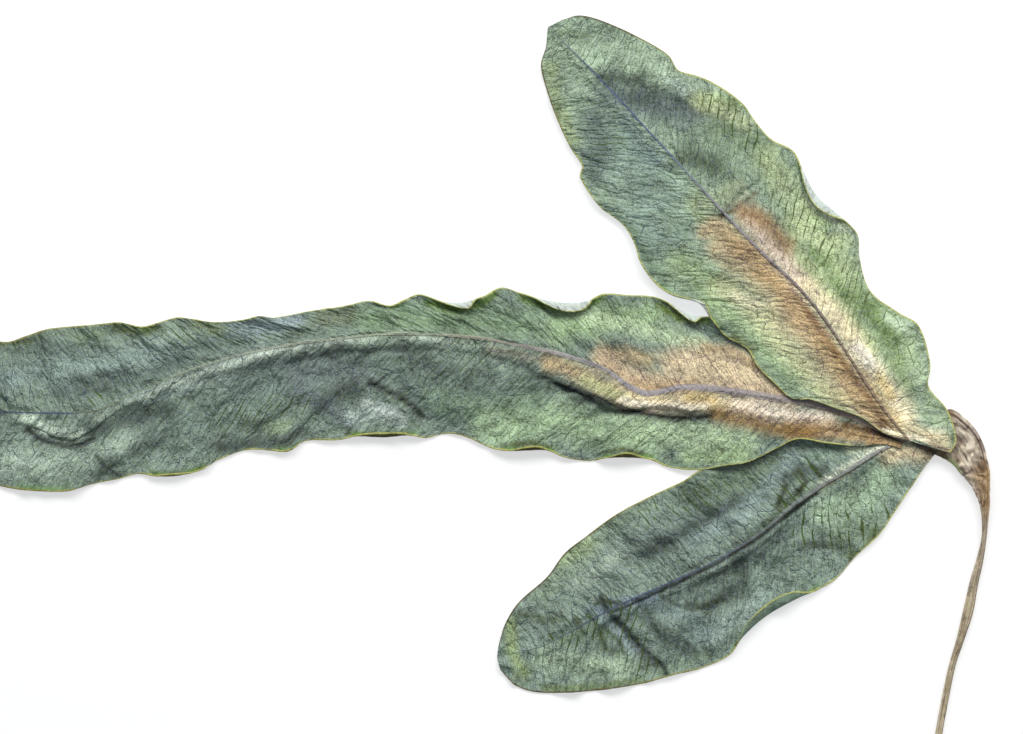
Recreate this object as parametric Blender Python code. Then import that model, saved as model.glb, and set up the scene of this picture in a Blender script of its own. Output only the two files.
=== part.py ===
"""Dried three-lobed fern frond, lying flat as it was pressed.

Two solids: the blade, whose three wavy lobes grow from one short rachis, and the stipe,
a thin stalk whose winged top twists round to carry the blade.
The outline is read from the photograph, in its own pixels, and brought to real size by one scale.
The origin is the middle of the flat spot that the long lobe rests on; +X and +Y are the
photograph's right and up, +Z is up from the surface.
"""

import bmesh
import bpy
import numpy as np

# Driving dimensions
SCAN_WIDTH_MM = 297.0  # the photograph is as wide as the long side of an A4 scanner's glass
PHOTO_WIDTH_PX = 1023
MM_PER_PX = SCAN_WIDTH_MM / PHOTO_WIDTH_PX
ORIGIN_PX = (478.0, 434.0)  # the photograph's pixel over the origin
BLADE_MM = 0.7  # thickness of the leaf
RIB_FOOT_MM = 0.8  # half the width of a midrib
RIB_PROUD_MM = 0.7  # what a midrib adds to the leaf's thickness at its base
VEIN_RIDGE_MM = 0.16  # half the height of the ridges that the side veins raise
CURL_BAND_MM = 4.6  # width of the strip along a margin that curls
CURL_FLATTEN = 0.5  # height of a curl against its width
CURL_STEPS = 3  # straight pieces across a curl
REST_SPOT_MM = (8.0, 4.0)  # half length and half width of the flat spot
REST_SPOT_EDGE = 1.5  # the flattening has faded out at this many times its size
TOUCHES_PX = [(-182, 404), (533.4, 659.6), (699.3, 77)]  # where the leaf touches the ground, beside the rest spot
TOUCH_MM = 1.5  # radius of such a place
HELD_CLEAR_MM = 0.12  # the leaf's clearance from the ground everywhere else
ROW_STEP_MM = 3.7  # distance between cross-sections of a lobe
STALK_MM = 2.1  # thickness of the stalk
STALK_ROWS = 56  # cross-sections of the stipe
RACHIS_ROWS = 6

# Limits that keep a narrow cross-section in order, as shares of a half lobe
RIB_FOOT_SHARE = 0.15  # the midrib's foot is no further out than this
CURL_SHARE = 0.42  # the curled strip is no wider than this
CREST_RANGE = (0.1, 0.6)  # a pleat's crest lies between these shares of the uncurled width
PLEAT_SHARE = 0.55  # a pleat's slope takes no more than this share of the width beyond its crest
CREST_DROP = 0.25  # share of a pleat's drop that lies between the midrib and its crest
FADE_SHARE = 0.1  # the vein ridges grow from nothing over this share of a lobe's length
MARGIN_RIDGE = 0.3  # what is left of the vein ridges on the curled strip

# A midrib: x and y in the photograph's pixels, height of the leaf there in millimetres.
UPPER_RIB = [
    (910, 441, 4.9), (886, 412, 6.0), (858, 370, 6.6), (826, 321, 6.2), (799, 288, 5.6),
    (762, 253, 4.8), (724, 213, 4.0), (690, 176, 3.0), (650, 133, 2.1), (600, 79, 1.2), (548, 27, 0.3),
]
LONG_RIB = [
    (905, 440, 3.3), (885, 431, 3.5), (835, 409, 3.7), (770, 397, 4.2), (715, 389, 4.2), (680, 388, 4.1),
    (650, 394, 3.9), (632, 387, 3.9), (608, 370, 3.9), (580, 359, 3.8), (540, 349, 3.6), (480, 338, 3.4),
    (400, 333, 3.4), (330, 339, 3.4), (260, 350, 3.2), (200, 367, 3.0), (140, 391, 2.8), (96, 411, 2.4),
    (50, 413, 2.0), (0, 412, 1.7), (-60, 410, 1.5), (-120, 407, 0.9), (-182, 404, 0.3),
]
LOWER_RIB = [
    (907, 443, 2.5), (880, 450, 2.4), (850, 469, 2.8), (815, 490, 2.8), (790, 508, 2.6), (760, 533, 2.4),
    (715, 561, 2.2), (660, 587, 1.9), (611, 609, 1.6), (570, 632, 1.2), (540, 647, 0.7), (497, 657, 0.3),
]

# A margin, from the base to the tip: x and y of the outline in pixels, how far the edge has
# turned up (90 stands it upright, more leans it back over the leaf), and the leaf's height
# in millimetres where the curl starts.
UPPER_RIGHT = [
    (950, 453, 10, 5.2), (956, 440, 20, 5.4), (947, 410, 0, 4.6), (928, 386, -40, 4.2),
    (930, 364, 10, 4.6), (918, 325, 40, 3.2), (899, 313, -20, 2.9), (870, 291, -40, 3.0),
    (859, 258, -30, 3.0), (857, 234, 20, 2.8), (839, 216, 110, 2.0), (816, 196, 140, 1.5),
    (802, 170, 115, 1.6), (793, 151, 20, 2.2), (771, 139, -20, 2.0), (755, 121, -20, 1.6),
    (741, 102, 20, 1.4), (712, 82, 30, 1.0), (697, 76, -30, 0.8), (678, 70, 20, 0.8),
    (668, 55, 0, 0.8), (640, 38, 20, 0.8), (605, 22, 20, 0.8), (580, 15.5, 10, 0.6),
    (562, 20, 0, 0.3),
]
UPPER_LEFT = [
    (895, 437, 0, 5.2), (882, 432, 0, 5.6), (862, 418, 20, 6.0), (835, 408, 20, 6.4),
    (808, 399, 10, 6.6), (791, 398, -10, 6.8), (775, 384, 10, 6.6), (757, 366, 20, 6.4),
    (747, 349, 10, 6.4), (724, 335, 30, 5.8), (710, 317, 110, 4.4), (699, 303, 140, 3.4),
    (672, 295, 125, 2.6), (653, 281, 60, 2.2), (640, 262, 20, 1.9), (634, 243, 10, 1.9),
    (623, 225, -10, 1.7), (599, 206, 10, 1.5), (580, 177, 20, 1.2), (582, 166, 30, 1.1),
    (570, 147, 10, 0.9), (556, 117, 10, 0.8), (546, 88, 10, 0.8), (541, 65, 10, 0.6),
    (546, 47, 10, 0.4), (547, 37, 0, 0.3),
]
LONG_UPPER = [
    (898, 430, 0, 3.4), (880, 413, 0, 2.9), (830, 366, 0, 2.4), (780, 332, 0, 2.0),
    (735, 314, 0, 1.8), (706, 317, 90, 1.6), (690, 315, 140, 1.4), (672, 305, 110, 1.4),
    (655, 297, 30, 1.2), (628, 295, 10, 1.0), (603, 294, 30, 0.9), (588, 301, 115, 0.9),
    (567, 303.5, 150, 0.8), (543, 300, 130, 0.8), (520, 293, 50, 0.8), (501, 287.5, 20, 0.8),
    (484, 296, 70, 0.7), (462, 303, 140, 0.6), (443, 302, 105, 0.7), (419, 294.5, 20, 0.8),
    (404, 300, 60, 0.7), (390, 306, 85, 0.6), (368, 301, 20, 0.7), (345, 306, 30, 0.7),
    (310, 311, 10, 0.6), (273, 318, 20, 0.6), (260, 316, 10, 0.6), (242, 320, 10, 0.7),
    (213, 322, 40, 0.8), (178, 317.5, 10, 0.8), (160, 322, 50, 0.7), (142, 327, 85, 0.6),
    (120, 322.5, 40, 0.6), (90, 325, 10, 0.6), (48, 329, 10, 0.6), (26, 336, 30, 0.6),
    (8, 342, 60, 0.6), (-14, 340, 20, 0.6), (-38, 343, 20, 0.6), (-66, 349, 50, 0.6),
    (-92, 355, 20, 0.6), (-120, 365, 30, 0.6), (-148, 376, 20, 0.5), (-168, 387, 10, 0.4),
    (-178, 395, 0, 0.3),
]
LONG_LOWER = [
    (900, 448, 0, 3.4), (882, 444, 0, 3.3), (858, 446, 0, 3.1), (825, 443, 30, 2.8),
    (797, 439, 50, 2.8), (777, 448, 40, 2.7), (748, 462, 20, 2.6), (722, 466, 30, 2.4),
    (698, 470, 20, 1.8), (668, 467, 10, 1.2), (649, 459, 90, 0.9), (622, 457, 145, 0.8),
    (604, 458, 95, 0.7), (590, 461, 10, 0.6), (563, 457, 20, 0.5), (547, 450, 110, 0.6),
    (528, 450, 140, 0.7), (507, 450.5, 95, 0.7), (491, 448, 10, 0.8), (466, 437, 20, 0.9),
    (447, 433.5, 40, 0.9), (425, 438, 20, 0.8), (409, 435, 110, 0.8), (384, 437, 140, 0.8),
    (356, 436, 110, 0.8), (338, 440, 20, 0.7), (306, 441, 20, 0.7), (288, 451, 120, 0.6),
    (272, 450.5, 60, 0.6), (246, 450, 10, 0.7), (218, 460, 20, 0.7), (203, 469, 80, 0.6),
    (180, 475, 120, 0.6), (157, 476, 110, 0.6), (138, 474, 20, 0.6), (118, 479, 10, 0.6),
    (92, 484, 20, 0.6), (70, 490.5, 70, 0.6), (44, 491, 110, 0.6), (18, 489, 80, 0.6),
    (0, 486, 20, 0.6), (-30, 479, 10, 0.6), (-62, 469, 50, 0.6), (-92, 458, 20, 0.6),
    (-122, 446, 40, 0.6), (-150, 433, 10, 0.5), (-169, 422, 10, 0.4), (-178, 413, 0, 0.3),
]
LOWER_UPPER = [
    (894, 438, 0, 2.0), (880, 440, 0, 1.4), (858, 441, 0, 1.1), (825, 437, 0, 0.9),
    (797, 434, 0, 0.9), (766, 446, 0, 0.8), (735, 457, 0, 0.8), (700, 470, 10, 0.8),
    (683, 481, 20, 0.8), (651, 496, 0, 0.8), (617, 514, 20, 0.8), (588, 535, 10, 0.8),
    (565, 553, 30, 0.7), (547, 577, 10, 0.7), (519, 602, 10, 0.6), (506, 622, 30, 0.5),
    (500, 640, 10, 0.4), (498.5, 647, 0, 0.3),
]
LOWER_RIGHT = [
    (940, 449, 0, 2.6), (924, 468, -10, 2.4), (906, 495, -10, 2.2), (892, 516, 20, 1.8),
    (879, 535, 20, 1.4), (855, 557, 10, 1.0), (838, 577, 20, 0.8), (821, 588, 70, 0.7),
    (795, 599, 145, 0.7), (764, 617, 150, 0.7), (742, 637, 125, 0.7), (729, 655, 60, 0.7),
    (702, 668, 20, 0.7), (673, 675, 30, 0.7), (640, 684, 20, 0.7), (600, 690, 40, 0.6),
    (566, 692.5, 30, 0.6), (535, 692, 20, 0.6), (515, 685, 10, 0.4), (500.5, 670, 0, 0.3),
]

# A pleat beside the midrib: share of the lobe's length, how far from the midrib its crest lies
# in pixels, how far the leaf drops there in millimetres, and how wide the drop is in pixels.
UPPER_RIGHT_PLEAT = [(0.0, 7, 0.3, 6), (0.15, 16, 1.2, 12), (0.6, 12, 1.2, 12), (1.0, 4, 0.2, 5)]
UPPER_LEFT_PLEAT = [(0.0, 3, 0.2, 3), (0.1, 14, 1.0, 14), (0.6, 14, 1.4, 14), (1.0, 4, 0.2, 5)]
LONG_UPPER_PLEAT = [
    (0.0, 2, 0.1, 2), (0.08, 10, 0.8, 12), (0.3, 9, 1.4, 10), (0.42, 5, 1.7, 5), (0.72, 5, 1.7, 4),
    (0.78, 6, 0.6, 8), (1.0, 4, 0.1, 4),
]
LONG_LOWER_PLEAT = [
    (0.0, 2, 0.1, 2), (0.07, 12, 0.5, 12), (0.15, 17, 0.9, 8), (0.18, 19, 1.4, 3), (0.2, 20, 1.9, 1),
    (0.25, 14, 1.9, 1), (0.31, 26, 1.8, 1), (0.345, 22, 1.0, 5), (0.4, 20, 0.9, 14), (0.73, 22, 0.8, 12),
    (0.765, 26, 1.4, 4), (0.8, 20, 1.7, 2), (0.83, 12, 1.0, 5), (0.87, 10, 0.4, 8), (1.0, 4, 0.1, 4),
]
LOWER_UPPER_PLEAT = [(0.0, 2, 0.1, 2), (0.12, 8, 0.9, 8), (0.5, 12, 0.8, 14), (1.0, 4, 0.1, 5)]
LOWER_RIGHT_PLEAT = [
    (0.0, 3, 0.1, 3), (0.12, 6, 1.0, 6), (0.45, 5, 1.5, 5), (0.75, 5, 0.7, 6), (1.0, 4, 0.1, 5),
]

# How far the side veins run on towards the tip before they reach a margin, as a share of it.
UPPER_SLANT = 0.14
LONG_SLANT = 0.062
LOWER_SLANT = 0.12

# The stalk, from the rachis to the cut end: x, y and height of its thin inner edge and of its
# thick outer edge, and how far its section has closed from a wing to a round stalk.
RACHIS_AND_STIPE = [
    ((894, 444, 3.3), (896, 434, 3.7), 1.0), ((910, 447, 3.2), (911, 435, 3.7), 1.0),
    ((924, 451, 2.9), (924, 434, 3.5), 0.9), ((936, 455, 2.3), (935, 424, 3.1), 0.4),
    ((945, 459, 1.9), (949, 409, 2.7), 0.0), ((951, 463, 2.0), (967, 420, 3.2), 0.0),
    ((956, 468, 2.2), (980, 436, 4.2), 0.0), ((963, 476, 2.3), (988, 461, 4.4), 0.0),
    ((972, 487, 2.2), (990.5, 484, 4.2), 0.1), ((979, 501, 2.0), (990, 503, 3.6), 0.35),
    ((982, 518, 1.8), (988, 520, 2.8), 0.8), ((981.5, 537, 1.6), (986.5, 538, 2.0), 1.0),
    ((976, 560, 1.4), (983, 562, 1.7), 1.0), ((970, 580, 1.3), (978.5, 582.5, 1.5), 1.0),
    ((963, 610, 1.2), (973, 613, 1.3), 1.0), ((956.5, 638, 1.2), (964, 640.5, 1.3), 1.0),
    ((949, 664, 1.2), (955.5, 666, 1.2), 1.0), ((942.5, 693, 1.2), (949.5, 695, 1.2), 1.0),
    ((936.5, 725, 1.2), (943.5, 727, 1.2), 1.0), ((930, 762, 1.2), (937.5, 764, 1.2), 1.0),
    ((921, 804, 1.2), (929, 806, 1.2), 1.0), ((909, 846, 1.2), (917.5, 849, 1.2), 1.0),
    ((895, 884, 1.2), (903.5, 887.5, 1.2), 1.0),
]
RACHIS_ENDS_AT = 0.087  # share of that run that is the blade's rachis
STIPE_STARTS_AT = 0.0902  # the share between the two is a seam 0.3 mm wide

# The stipe's cross-section: shares of the way from the inner edge to the outer one, and half
# the thickness there in millimetres. The last point is the outer edge itself.
WING_ACROSS = [0.0, 0.12, 0.38, 0.66, 0.86, 0.96, 1.0]
WING_HALF_MM = [0.2, 0.4, 0.4, 0.4, 1.05, 0.71, 0.0]
INNER_EDGE_MM = 0.05  # half the thickness of the inner edge where the stalk is round

BLADE_COLOUR = (0.33, 0.42, 0.31, 1.0)
STIPE_COLOUR = (0.32, 0.23, 0.15, 1.0)
MM = 0.001


def clear_scene():
    for thing in list(bpy.data.objects):
        bpy.data.objects.remove(thing)


def photo_to_mm(points):
    """Pixels of the photograph to millimetres from the origin, on the first two columns."""
    points = np.array(points, float)
    points[:, 0] = (points[:, 0] - ORIGIN_PX[0]) * MM_PER_PX
    points[:, 1] = (ORIGIN_PX[1] - points[:, 1]) * MM_PER_PX
    return points


def smooth_curve(points, shares):
    """A curve through the rows of points, read at shares of its length.

    Between two rows it is a cubic whose slope at a row is that of the line between the
    rows on either side, so a wave swings through its crests without a corner."""
    points = np.array(points, float)
    steps = np.linalg.norm(np.diff(points[:, :2], axis=0), axis=1)
    knots = np.concatenate([[0.0], np.cumsum(steps)])
    slopes = np.empty_like(points)
    slopes[1:-1] = (points[2:] - points[:-2]) / (knots[2:] - knots[:-2])[:, None]
    slopes[0] = (points[1] - points[0]) / steps[0]
    slopes[-1] = (points[-1] - points[-2]) / steps[-1]
    at = np.clip(shares, 0.0, 1.0) * knots[-1]
    i = np.clip(np.searchsorted(knots, at, side="right") - 1, 0, len(steps) - 1)
    h = steps[i][:, None]
    u = ((at - knots[i]) / steps[i])[:, None]
    return (
        (2 * u**3 - 3 * u**2 + 1) * points[i]
        + (u**3 - 2 * u**2 + u) * h * slopes[i]
        + (3 * u**2 - 2 * u**3) * points[i + 1]
        + (u**3 - u**2) * h * slopes[i + 1]
    )


def eased(x):
    """0 below 0, 1 above 1, and a smooth rise between."""
    x = np.clip(x, 0.0, 1.0)
    return x * x * (3 - 2 * x)


def vein_shares(shares, slant):
    """Where on a margin the side veins arrive that leave the midrib at these shares."""
    return shares + slant * eased(shares / 0.2) * eased((1 - shares) / 0.45)


def half_section(rib, edge, pleat):
    """The points across one half of a lobe, from beside the midrib to the margin.

    Each row of rib, edge and pleat is one cross-section. The columns are: the foot of the
    midrib, the crest and the foot of the pleat, the start of the curl, and then the curl,
    an arc that turns through the margin's own angle."""
    out = edge[:, :2] - rib[:, :2]
    width = np.linalg.norm(out, axis=1)
    out /= width[:, None]
    band = np.minimum(CURL_BAND_MM, CURL_SHARE * width)
    flat = width - band
    foot = np.minimum(RIB_FOOT_MM, RIB_FOOT_SHARE * width)
    crest = np.clip(pleat[:, 0] * MM_PER_PX, foot + CREST_RANGE[0] * flat, CREST_RANGE[1] * flat)
    slope = np.minimum(pleat[:, 2] * MM_PER_PX, PLEAT_SHARE * (flat - crest))
    z_rib, z_edge, drop = rib[:, 2], edge[:, 3], pleat[:, 1]
    columns = [
        (foot, z_rib), (crest, z_rib - CREST_DROP * drop), (crest + slope, z_rib - drop), (flat, z_edge),
    ]
    least_turn = 0.01
    turn = np.radians(edge[:, 2])
    turn = np.where(np.abs(turn) < least_turn, least_turn, turn)
    widest = np.sin(np.minimum(np.abs(turn), np.pi / 2))
    for share in np.arange(1, CURL_STEPS + 1) / CURL_STEPS:
        reach = np.sin(np.abs(turn) * share) / widest
        rise = np.sign(turn) * (1 - np.cos(turn * share)) / widest
        columns.append((flat + band * reach, z_edge + CURL_FLATTEN * band * rise))
    return [np.column_stack([rib[:, :2] + out * d[:, None], z]) for d, z in columns]


def pressed_share(points):
    """1 on the rest spot, falling to 0 a little outside it."""
    away = np.hypot(points[..., 0] / REST_SPOT_MM[0], points[..., 1] / REST_SPOT_MM[1])
    return eased((REST_SPOT_EDGE - away) / (REST_SPOT_EDGE - 1))


def clearance(points):
    """How far the leaf's underside stays above the ground: nothing at the places where it touches."""
    clear = HELD_CLEAR_MM * (1 - pressed_share(points))
    for x, y in photo_to_mm(TOUCHES_PX):
        clear[np.hypot(points[..., 0] - x, points[..., 1] - y) < TOUCH_MM] = 0.0
    return clear


def resting(points):
    """The leaf's middle surface kept above the surface it lies on, and pressed flat at the rest spot."""
    pressed = pressed_share(points)
    low = BLADE_MM / 2 + clearance(points)
    points[..., 2] = np.maximum(points[..., 2] * (1 - pressed) + low * pressed, low)
    return points


def grid_normals(grid):
    """The unit normal at each point of a grid, from its neighbours on both sides."""
    along = np.gradient(grid, axis=0)
    across = np.gradient(grid, axis=1)
    normal = np.cross(across, along)
    return normal / np.linalg.norm(normal, axis=2, keepdims=True)


def lobe_grid(rib_px, left_px, right_px, left_pleat, right_pleat, slant):
    """The middle surface of a lobe, and its thickness, as a grid of rows from base to tip."""
    rib_line = photo_to_mm(rib_px)
    length = np.linalg.norm(np.diff(rib_line[:, :2], axis=0), axis=1).sum()
    rows = int(round(length / ROW_STEP_MM)) + 1
    shares = np.linspace(0.0, 1.0, rows)
    rib = smooth_curve(rib_line, shares)
    sides = []
    for edge_px, pleat in ((left_px, left_pleat), (right_px, right_pleat)):
        edge = smooth_curve(photo_to_mm(edge_px), vein_shares(shares, slant))
        pleat = np.array(pleat)
        fold = np.column_stack([np.interp(shares, pleat[:, 0], pleat[:, k]) for k in (1, 2, 3)])
        sides.append(half_section(rib, edge, fold))
    left, right = sides
    grid = np.stack([*reversed(left), rib, *right], axis=1)
    ridge = np.where(np.arange(rows) % 2, VEIN_RIDGE_MM, -VEIN_RIDGE_MM)
    ridge *= eased(np.minimum(shares, 1 - shares) / FADE_SHARE)
    strength = np.ones(grid.shape[1])
    strength[:CURL_STEPS] = strength[-CURL_STEPS:] = MARGIN_RIDGE
    grid[..., 2] += ridge[:, None] * strength
    grid = resting(grid)
    thickness = np.full(grid.shape[:2], BLADE_MM)
    thickness[:, len(left)] += RIB_PROUD_MM * (1 - shares)
    return grid, thickness


def shell_mesh(name, grid, thickness):
    """A closed thin shell: the grid moved half its thickness to each side, and a wall round the edge."""
    offset = grid_normals(grid) * thickness[..., None] / 2
    top, bottom = grid + offset, grid - offset
    bottom[..., 2] = np.maximum(bottom[..., 2], clearance(bottom))
    rows, columns = grid.shape[:2]
    mesh = bmesh.new()
    upper, lower = [[[mesh.verts.new(p * MM) for p in row] for row in side] for side in (top, bottom)]
    for i in range(rows - 1):
        for j in range(columns - 1):
            corners = [(i, j), (i, j + 1), (i + 1, j + 1), (i + 1, j)]
            for a, b, c in ((0, 1, 2), (0, 2, 3)):
                three = [corners[k] for k in (a, b, c)]
                mesh.faces.new([upper[r][s] for r, s in three])
                mesh.faces.new([lower[r][s] for r, s in reversed(three)])
    rim = [(0, j) for j in range(columns)] + [(i, columns - 1) for i in range(1, rows)]
    rim += [(rows - 1, j) for j in range(columns - 2, -1, -1)] + [(i, 0) for i in range(rows - 2, 0, -1)]
    for (r, s), (u, v) in zip(rim, rim[1:] + rim[:1]):
        mesh.faces.new([upper[u][v], upper[r][s], lower[r][s]])
        mesh.faces.new([upper[u][v], lower[r][s], lower[u][v]])
    bmesh.ops.recalc_face_normals(mesh, faces=mesh.faces)
    return finish_mesh(name, mesh)


def finish_mesh(name, mesh):
    data = bpy.data.meshes.new(name)
    mesh.to_mesh(data)
    mesh.free()
    made = bpy.data.objects.new(name, data)
    bpy.context.scene.collection.objects.link(made)
    return made


def stalk_sections(first, last, rows):
    """Closed loops of points round the rachis and stipe, between two shares of their run.

    A loop goes out along the top from the thin inner edge to the thick outer one, and back
    underneath. Where the section has closed, it is an ellipse instead."""
    inner = photo_to_mm([a for a, _, _ in RACHIS_AND_STIPE])
    outer = photo_to_mm([b for _, b, _ in RACHIS_AND_STIPE])
    closed = np.array([c for _, _, c in RACHIS_AND_STIPE])
    run = np.column_stack([(inner + outer)[:, :2] / 2, inner, outer, closed])
    read = smooth_curve(run, np.linspace(first, last, rows))
    inner, outer, closed = read[:, 2:5], read[:, 5:8], np.clip(read[:, 8], 0, 1)
    across = np.array(WING_ACROSS)
    round_half = np.maximum(np.sqrt(across * (1 - across)) * STALK_MM, INNER_EDGE_MM)
    half = np.outer(1 - closed, WING_HALF_MM) + np.outer(closed, round_half)
    spine = inner[:, None] + (outer - inner)[:, None] * across[None, :, None]
    travel = np.gradient(spine, axis=0)
    chord = np.broadcast_to((outer - inner)[:, None], spine.shape)
    normal = np.cross(chord, travel)
    normal *= np.where(normal[..., 2:] < 0, -1, 1) / np.linalg.norm(normal, axis=2, keepdims=True)
    above = spine + normal * half[..., None]
    below = spine - normal * half[..., None]
    loops = np.concatenate([above[:, :-1], spine[:, -1:], below[:, -2::-1]], axis=1)
    loops[..., 2] = np.maximum(loops[..., 2], 0.0)
    return loops


def loft_mesh(name, loops):
    """A closed solid whose skin joins each loop to the next, with a flat cap at each end."""
    mesh = bmesh.new()
    rings = [[mesh.verts.new(p * MM) for p in loop] for loop in loops]
    count = len(rings[0])
    for near, far in zip(rings, rings[1:]):
        for j in range(count):
            k = (j + 1) % count
            mesh.faces.new([near[j], near[k], far[k]])
            mesh.faces.new([near[j], far[k], far[j]])
    mesh.faces.new(rings[0])
    mesh.faces.new(rings[-1])
    bmesh.ops.recalc_face_normals(mesh, faces=mesh.faces)
    return finish_mesh(name, mesh)


def material(name, colour, roughness):
    made = bpy.data.materials.new(name)
    made.use_nodes = True
    shader = made.node_tree.nodes["Principled BSDF"]
    shader.inputs["Base Color"].default_value = colour
    shader.inputs["Roughness"].default_value = roughness
    shader.inputs["Metallic"].default_value = 0.0
    return made


def fused(name, parts):
    """One body made of the parts, by a Boolean union of the first with all the others."""
    group = bpy.data.collections.new(name + "_parts")
    for part in parts[1:]:
        group.objects.link(part)
    union = parts[0].modifiers.new("fuse", "BOOLEAN")
    union.operation = "UNION"
    union.solver = "EXACT"
    union.operand_type = "COLLECTION"
    union.collection = group
    whole = bpy.data.meshes.new_from_object(parts[0].evaluated_get(bpy.context.evaluated_depsgraph_get()))
    for part in parts:
        bpy.data.objects.remove(part)
    bpy.data.collections.remove(group)
    made = bpy.data.objects.new(name, whole)
    bpy.context.scene.collection.objects.link(made)
    return made


LOBES = [
    ("upper_lobe", UPPER_RIB, UPPER_LEFT, UPPER_RIGHT, UPPER_LEFT_PLEAT, UPPER_RIGHT_PLEAT, UPPER_SLANT),
    ("long_lobe", LONG_RIB, LONG_LOWER, LONG_UPPER, LONG_LOWER_PLEAT, LONG_UPPER_PLEAT, LONG_SLANT),
    ("lower_lobe", LOWER_RIB, LOWER_RIGHT, LOWER_UPPER, LOWER_RIGHT_PLEAT, LOWER_UPPER_PLEAT, LOWER_SLANT),
]


def build_rachis():
    return loft_mesh("rachis", stalk_sections(0.0, RACHIS_ENDS_AT, RACHIS_ROWS))


def build_blade():
    parts = [build_rachis()]
    for name, *shape in LOBES:
        parts.append(shell_mesh(name, *lobe_grid(*shape)))
    return fused("blade", parts)


def build_stipe():
    return loft_mesh("stipe", stalk_sections(STIPE_STARTS_AT, 1.0, STALK_ROWS))


def main():
    clear_scene()
    blade = build_blade()
    blade.data.materials.clear()
    blade.data.materials.append(material("dried_leaf", BLADE_COLOUR, 0.72))
    stipe = build_stipe()
    stipe.data.materials.append(material("dried_stalk", STIPE_COLOUR, 0.6))
    for made in (blade, stipe):
        made.data.shade_smooth()


main()
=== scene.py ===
# %% [markdown]
# # A dried fern frond, seen straight down
# A pressed fern frond lies on a white ground: three wavy leaf lobes meet at one hub, and a
# thin stalk with a twisted, winged top carries them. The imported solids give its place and
# its size. Everything that is only skin (wrinkles, veins, the fold-over margins, colour)
# is made here, as finer surfaces that lie where the solids lie.

# %% Load the frame and keep its box
from functools import partial

import bpy
import numpy as np
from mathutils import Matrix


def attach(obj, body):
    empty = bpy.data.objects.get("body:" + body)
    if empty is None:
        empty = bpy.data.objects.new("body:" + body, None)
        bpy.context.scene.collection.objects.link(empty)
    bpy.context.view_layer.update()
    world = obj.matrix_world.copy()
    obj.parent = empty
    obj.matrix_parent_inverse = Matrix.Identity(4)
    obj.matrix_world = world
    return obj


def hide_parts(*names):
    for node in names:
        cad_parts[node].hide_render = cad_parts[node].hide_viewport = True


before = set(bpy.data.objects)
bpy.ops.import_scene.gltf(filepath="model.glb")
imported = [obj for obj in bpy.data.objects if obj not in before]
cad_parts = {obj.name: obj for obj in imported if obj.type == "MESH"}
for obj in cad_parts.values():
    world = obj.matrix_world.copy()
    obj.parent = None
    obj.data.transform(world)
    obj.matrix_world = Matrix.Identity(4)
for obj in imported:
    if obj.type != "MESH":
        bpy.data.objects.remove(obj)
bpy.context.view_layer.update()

print("solids to dress:", sorted(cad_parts))

# %% [markdown]
# ## From the photograph's pixels to millimetres
# A flatbed scan has one scale all over, so a pixel is a ruler: the long side of the scan is
# taken as 297 mm of glass, on 1023 pixels. Shapes below are read from the photograph in
# pixels, and heights are in millimetres, because that is how one looks at the photograph:
# places are seen, heights are judged.

# %% Scale
SCAN_MM = 297.0
SCAN_PX = 1023
MM_PER_PX = SCAN_MM / SCAN_PX
ORIGIN_PX = (478.0, 434.0)


def to_mm(points):
    """First two columns: pixels to millimetres from the origin, with y turned upwards."""
    points = np.array(points, float)
    points[..., 0] = (points[..., 0] - ORIGIN_PX[0]) * MM_PER_PX
    points[..., 1] = (ORIGIN_PX[1] - points[..., 1]) * MM_PER_PX
    return points


print("one pixel is", round(MM_PER_PX, 4), "mm")

# %% [markdown]
# ## Lines that swing through their points
# A leaf's midrib and its margins are free curves. A spline through hand-read points is the
# usual way to draw them. The cubic here takes its slope at a point from the line between
# the neighbours, so a wavy margin turns smoothly at each crest and overshoots nowhere much.


# %% Curves and easing
def eased(x):
    """0 below 0, 1 above 1, and between them 3x^2 - 2x^3."""
    x = np.clip(x, 0.0, 1.0)
    return x * x * (3 - 2 * x)


def plan_steps(points):
    """Distance in plan from each point to the next."""
    return np.linalg.norm(np.diff(points[:, :2], axis=0), axis=1)


def hermite(u, h, a, b, slope_a, slope_b):
    """Cubic from a to b over a distance h that keeps the slopes at both ends, read at the share u."""
    return ((2 * u**3 - 3 * u**2 + 1) * a + (u**3 - 2 * u**2 + u) * h * slope_a
            + (3 * u**2 - 2 * u**3) * b + (u**3 - u**2) * h * slope_b)


def smooth_curve(points, shares):
    """Hermite curve through the rows of points, read at shares of its length in plan."""
    points = np.array(points, float)
    steps = plan_steps(points)
    knots = np.concatenate([[0.0], np.cumsum(steps)])
    slopes = np.empty_like(points)
    slopes[1:-1] = (points[2:] - points[:-2]) / (knots[2:] - knots[:-2])[:, None]
    slopes[0] = (points[1] - points[0]) / steps[0]
    slopes[-1] = (points[-1] - points[-2]) / steps[-1]
    at = np.clip(shares, 0.0, 1.0) * knots[-1]
    i = np.clip(np.searchsorted(knots, at, side="right") - 1, 0, len(steps) - 1)
    u = ((at - knots[i]) / steps[i])[:, None]
    return hermite(u, steps[i][:, None], points[i], points[i + 1], slopes[i], slopes[i + 1])


def value_noise(x, y, seed):
    """Smooth heights from -1 to 1: seeded random values on a unit lattice, blended by eased shares."""
    lattice = np.random.default_rng(seed).uniform(-1, 1, (256, 256))
    i, j = np.floor(x).astype(int), np.floor(y).astype(int)
    u, v = eased(x - i), eased(y - j)
    i, j, i1, j1 = i % 256, j % 256, (i + 1) % 256, (j + 1) % 256
    low = lattice[i, j] * (1 - u) + lattice[i1, j] * u
    high = lattice[i, j1] * (1 - u) + lattice[i1, j1] * u
    return low * (1 - v) + high * v


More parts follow.
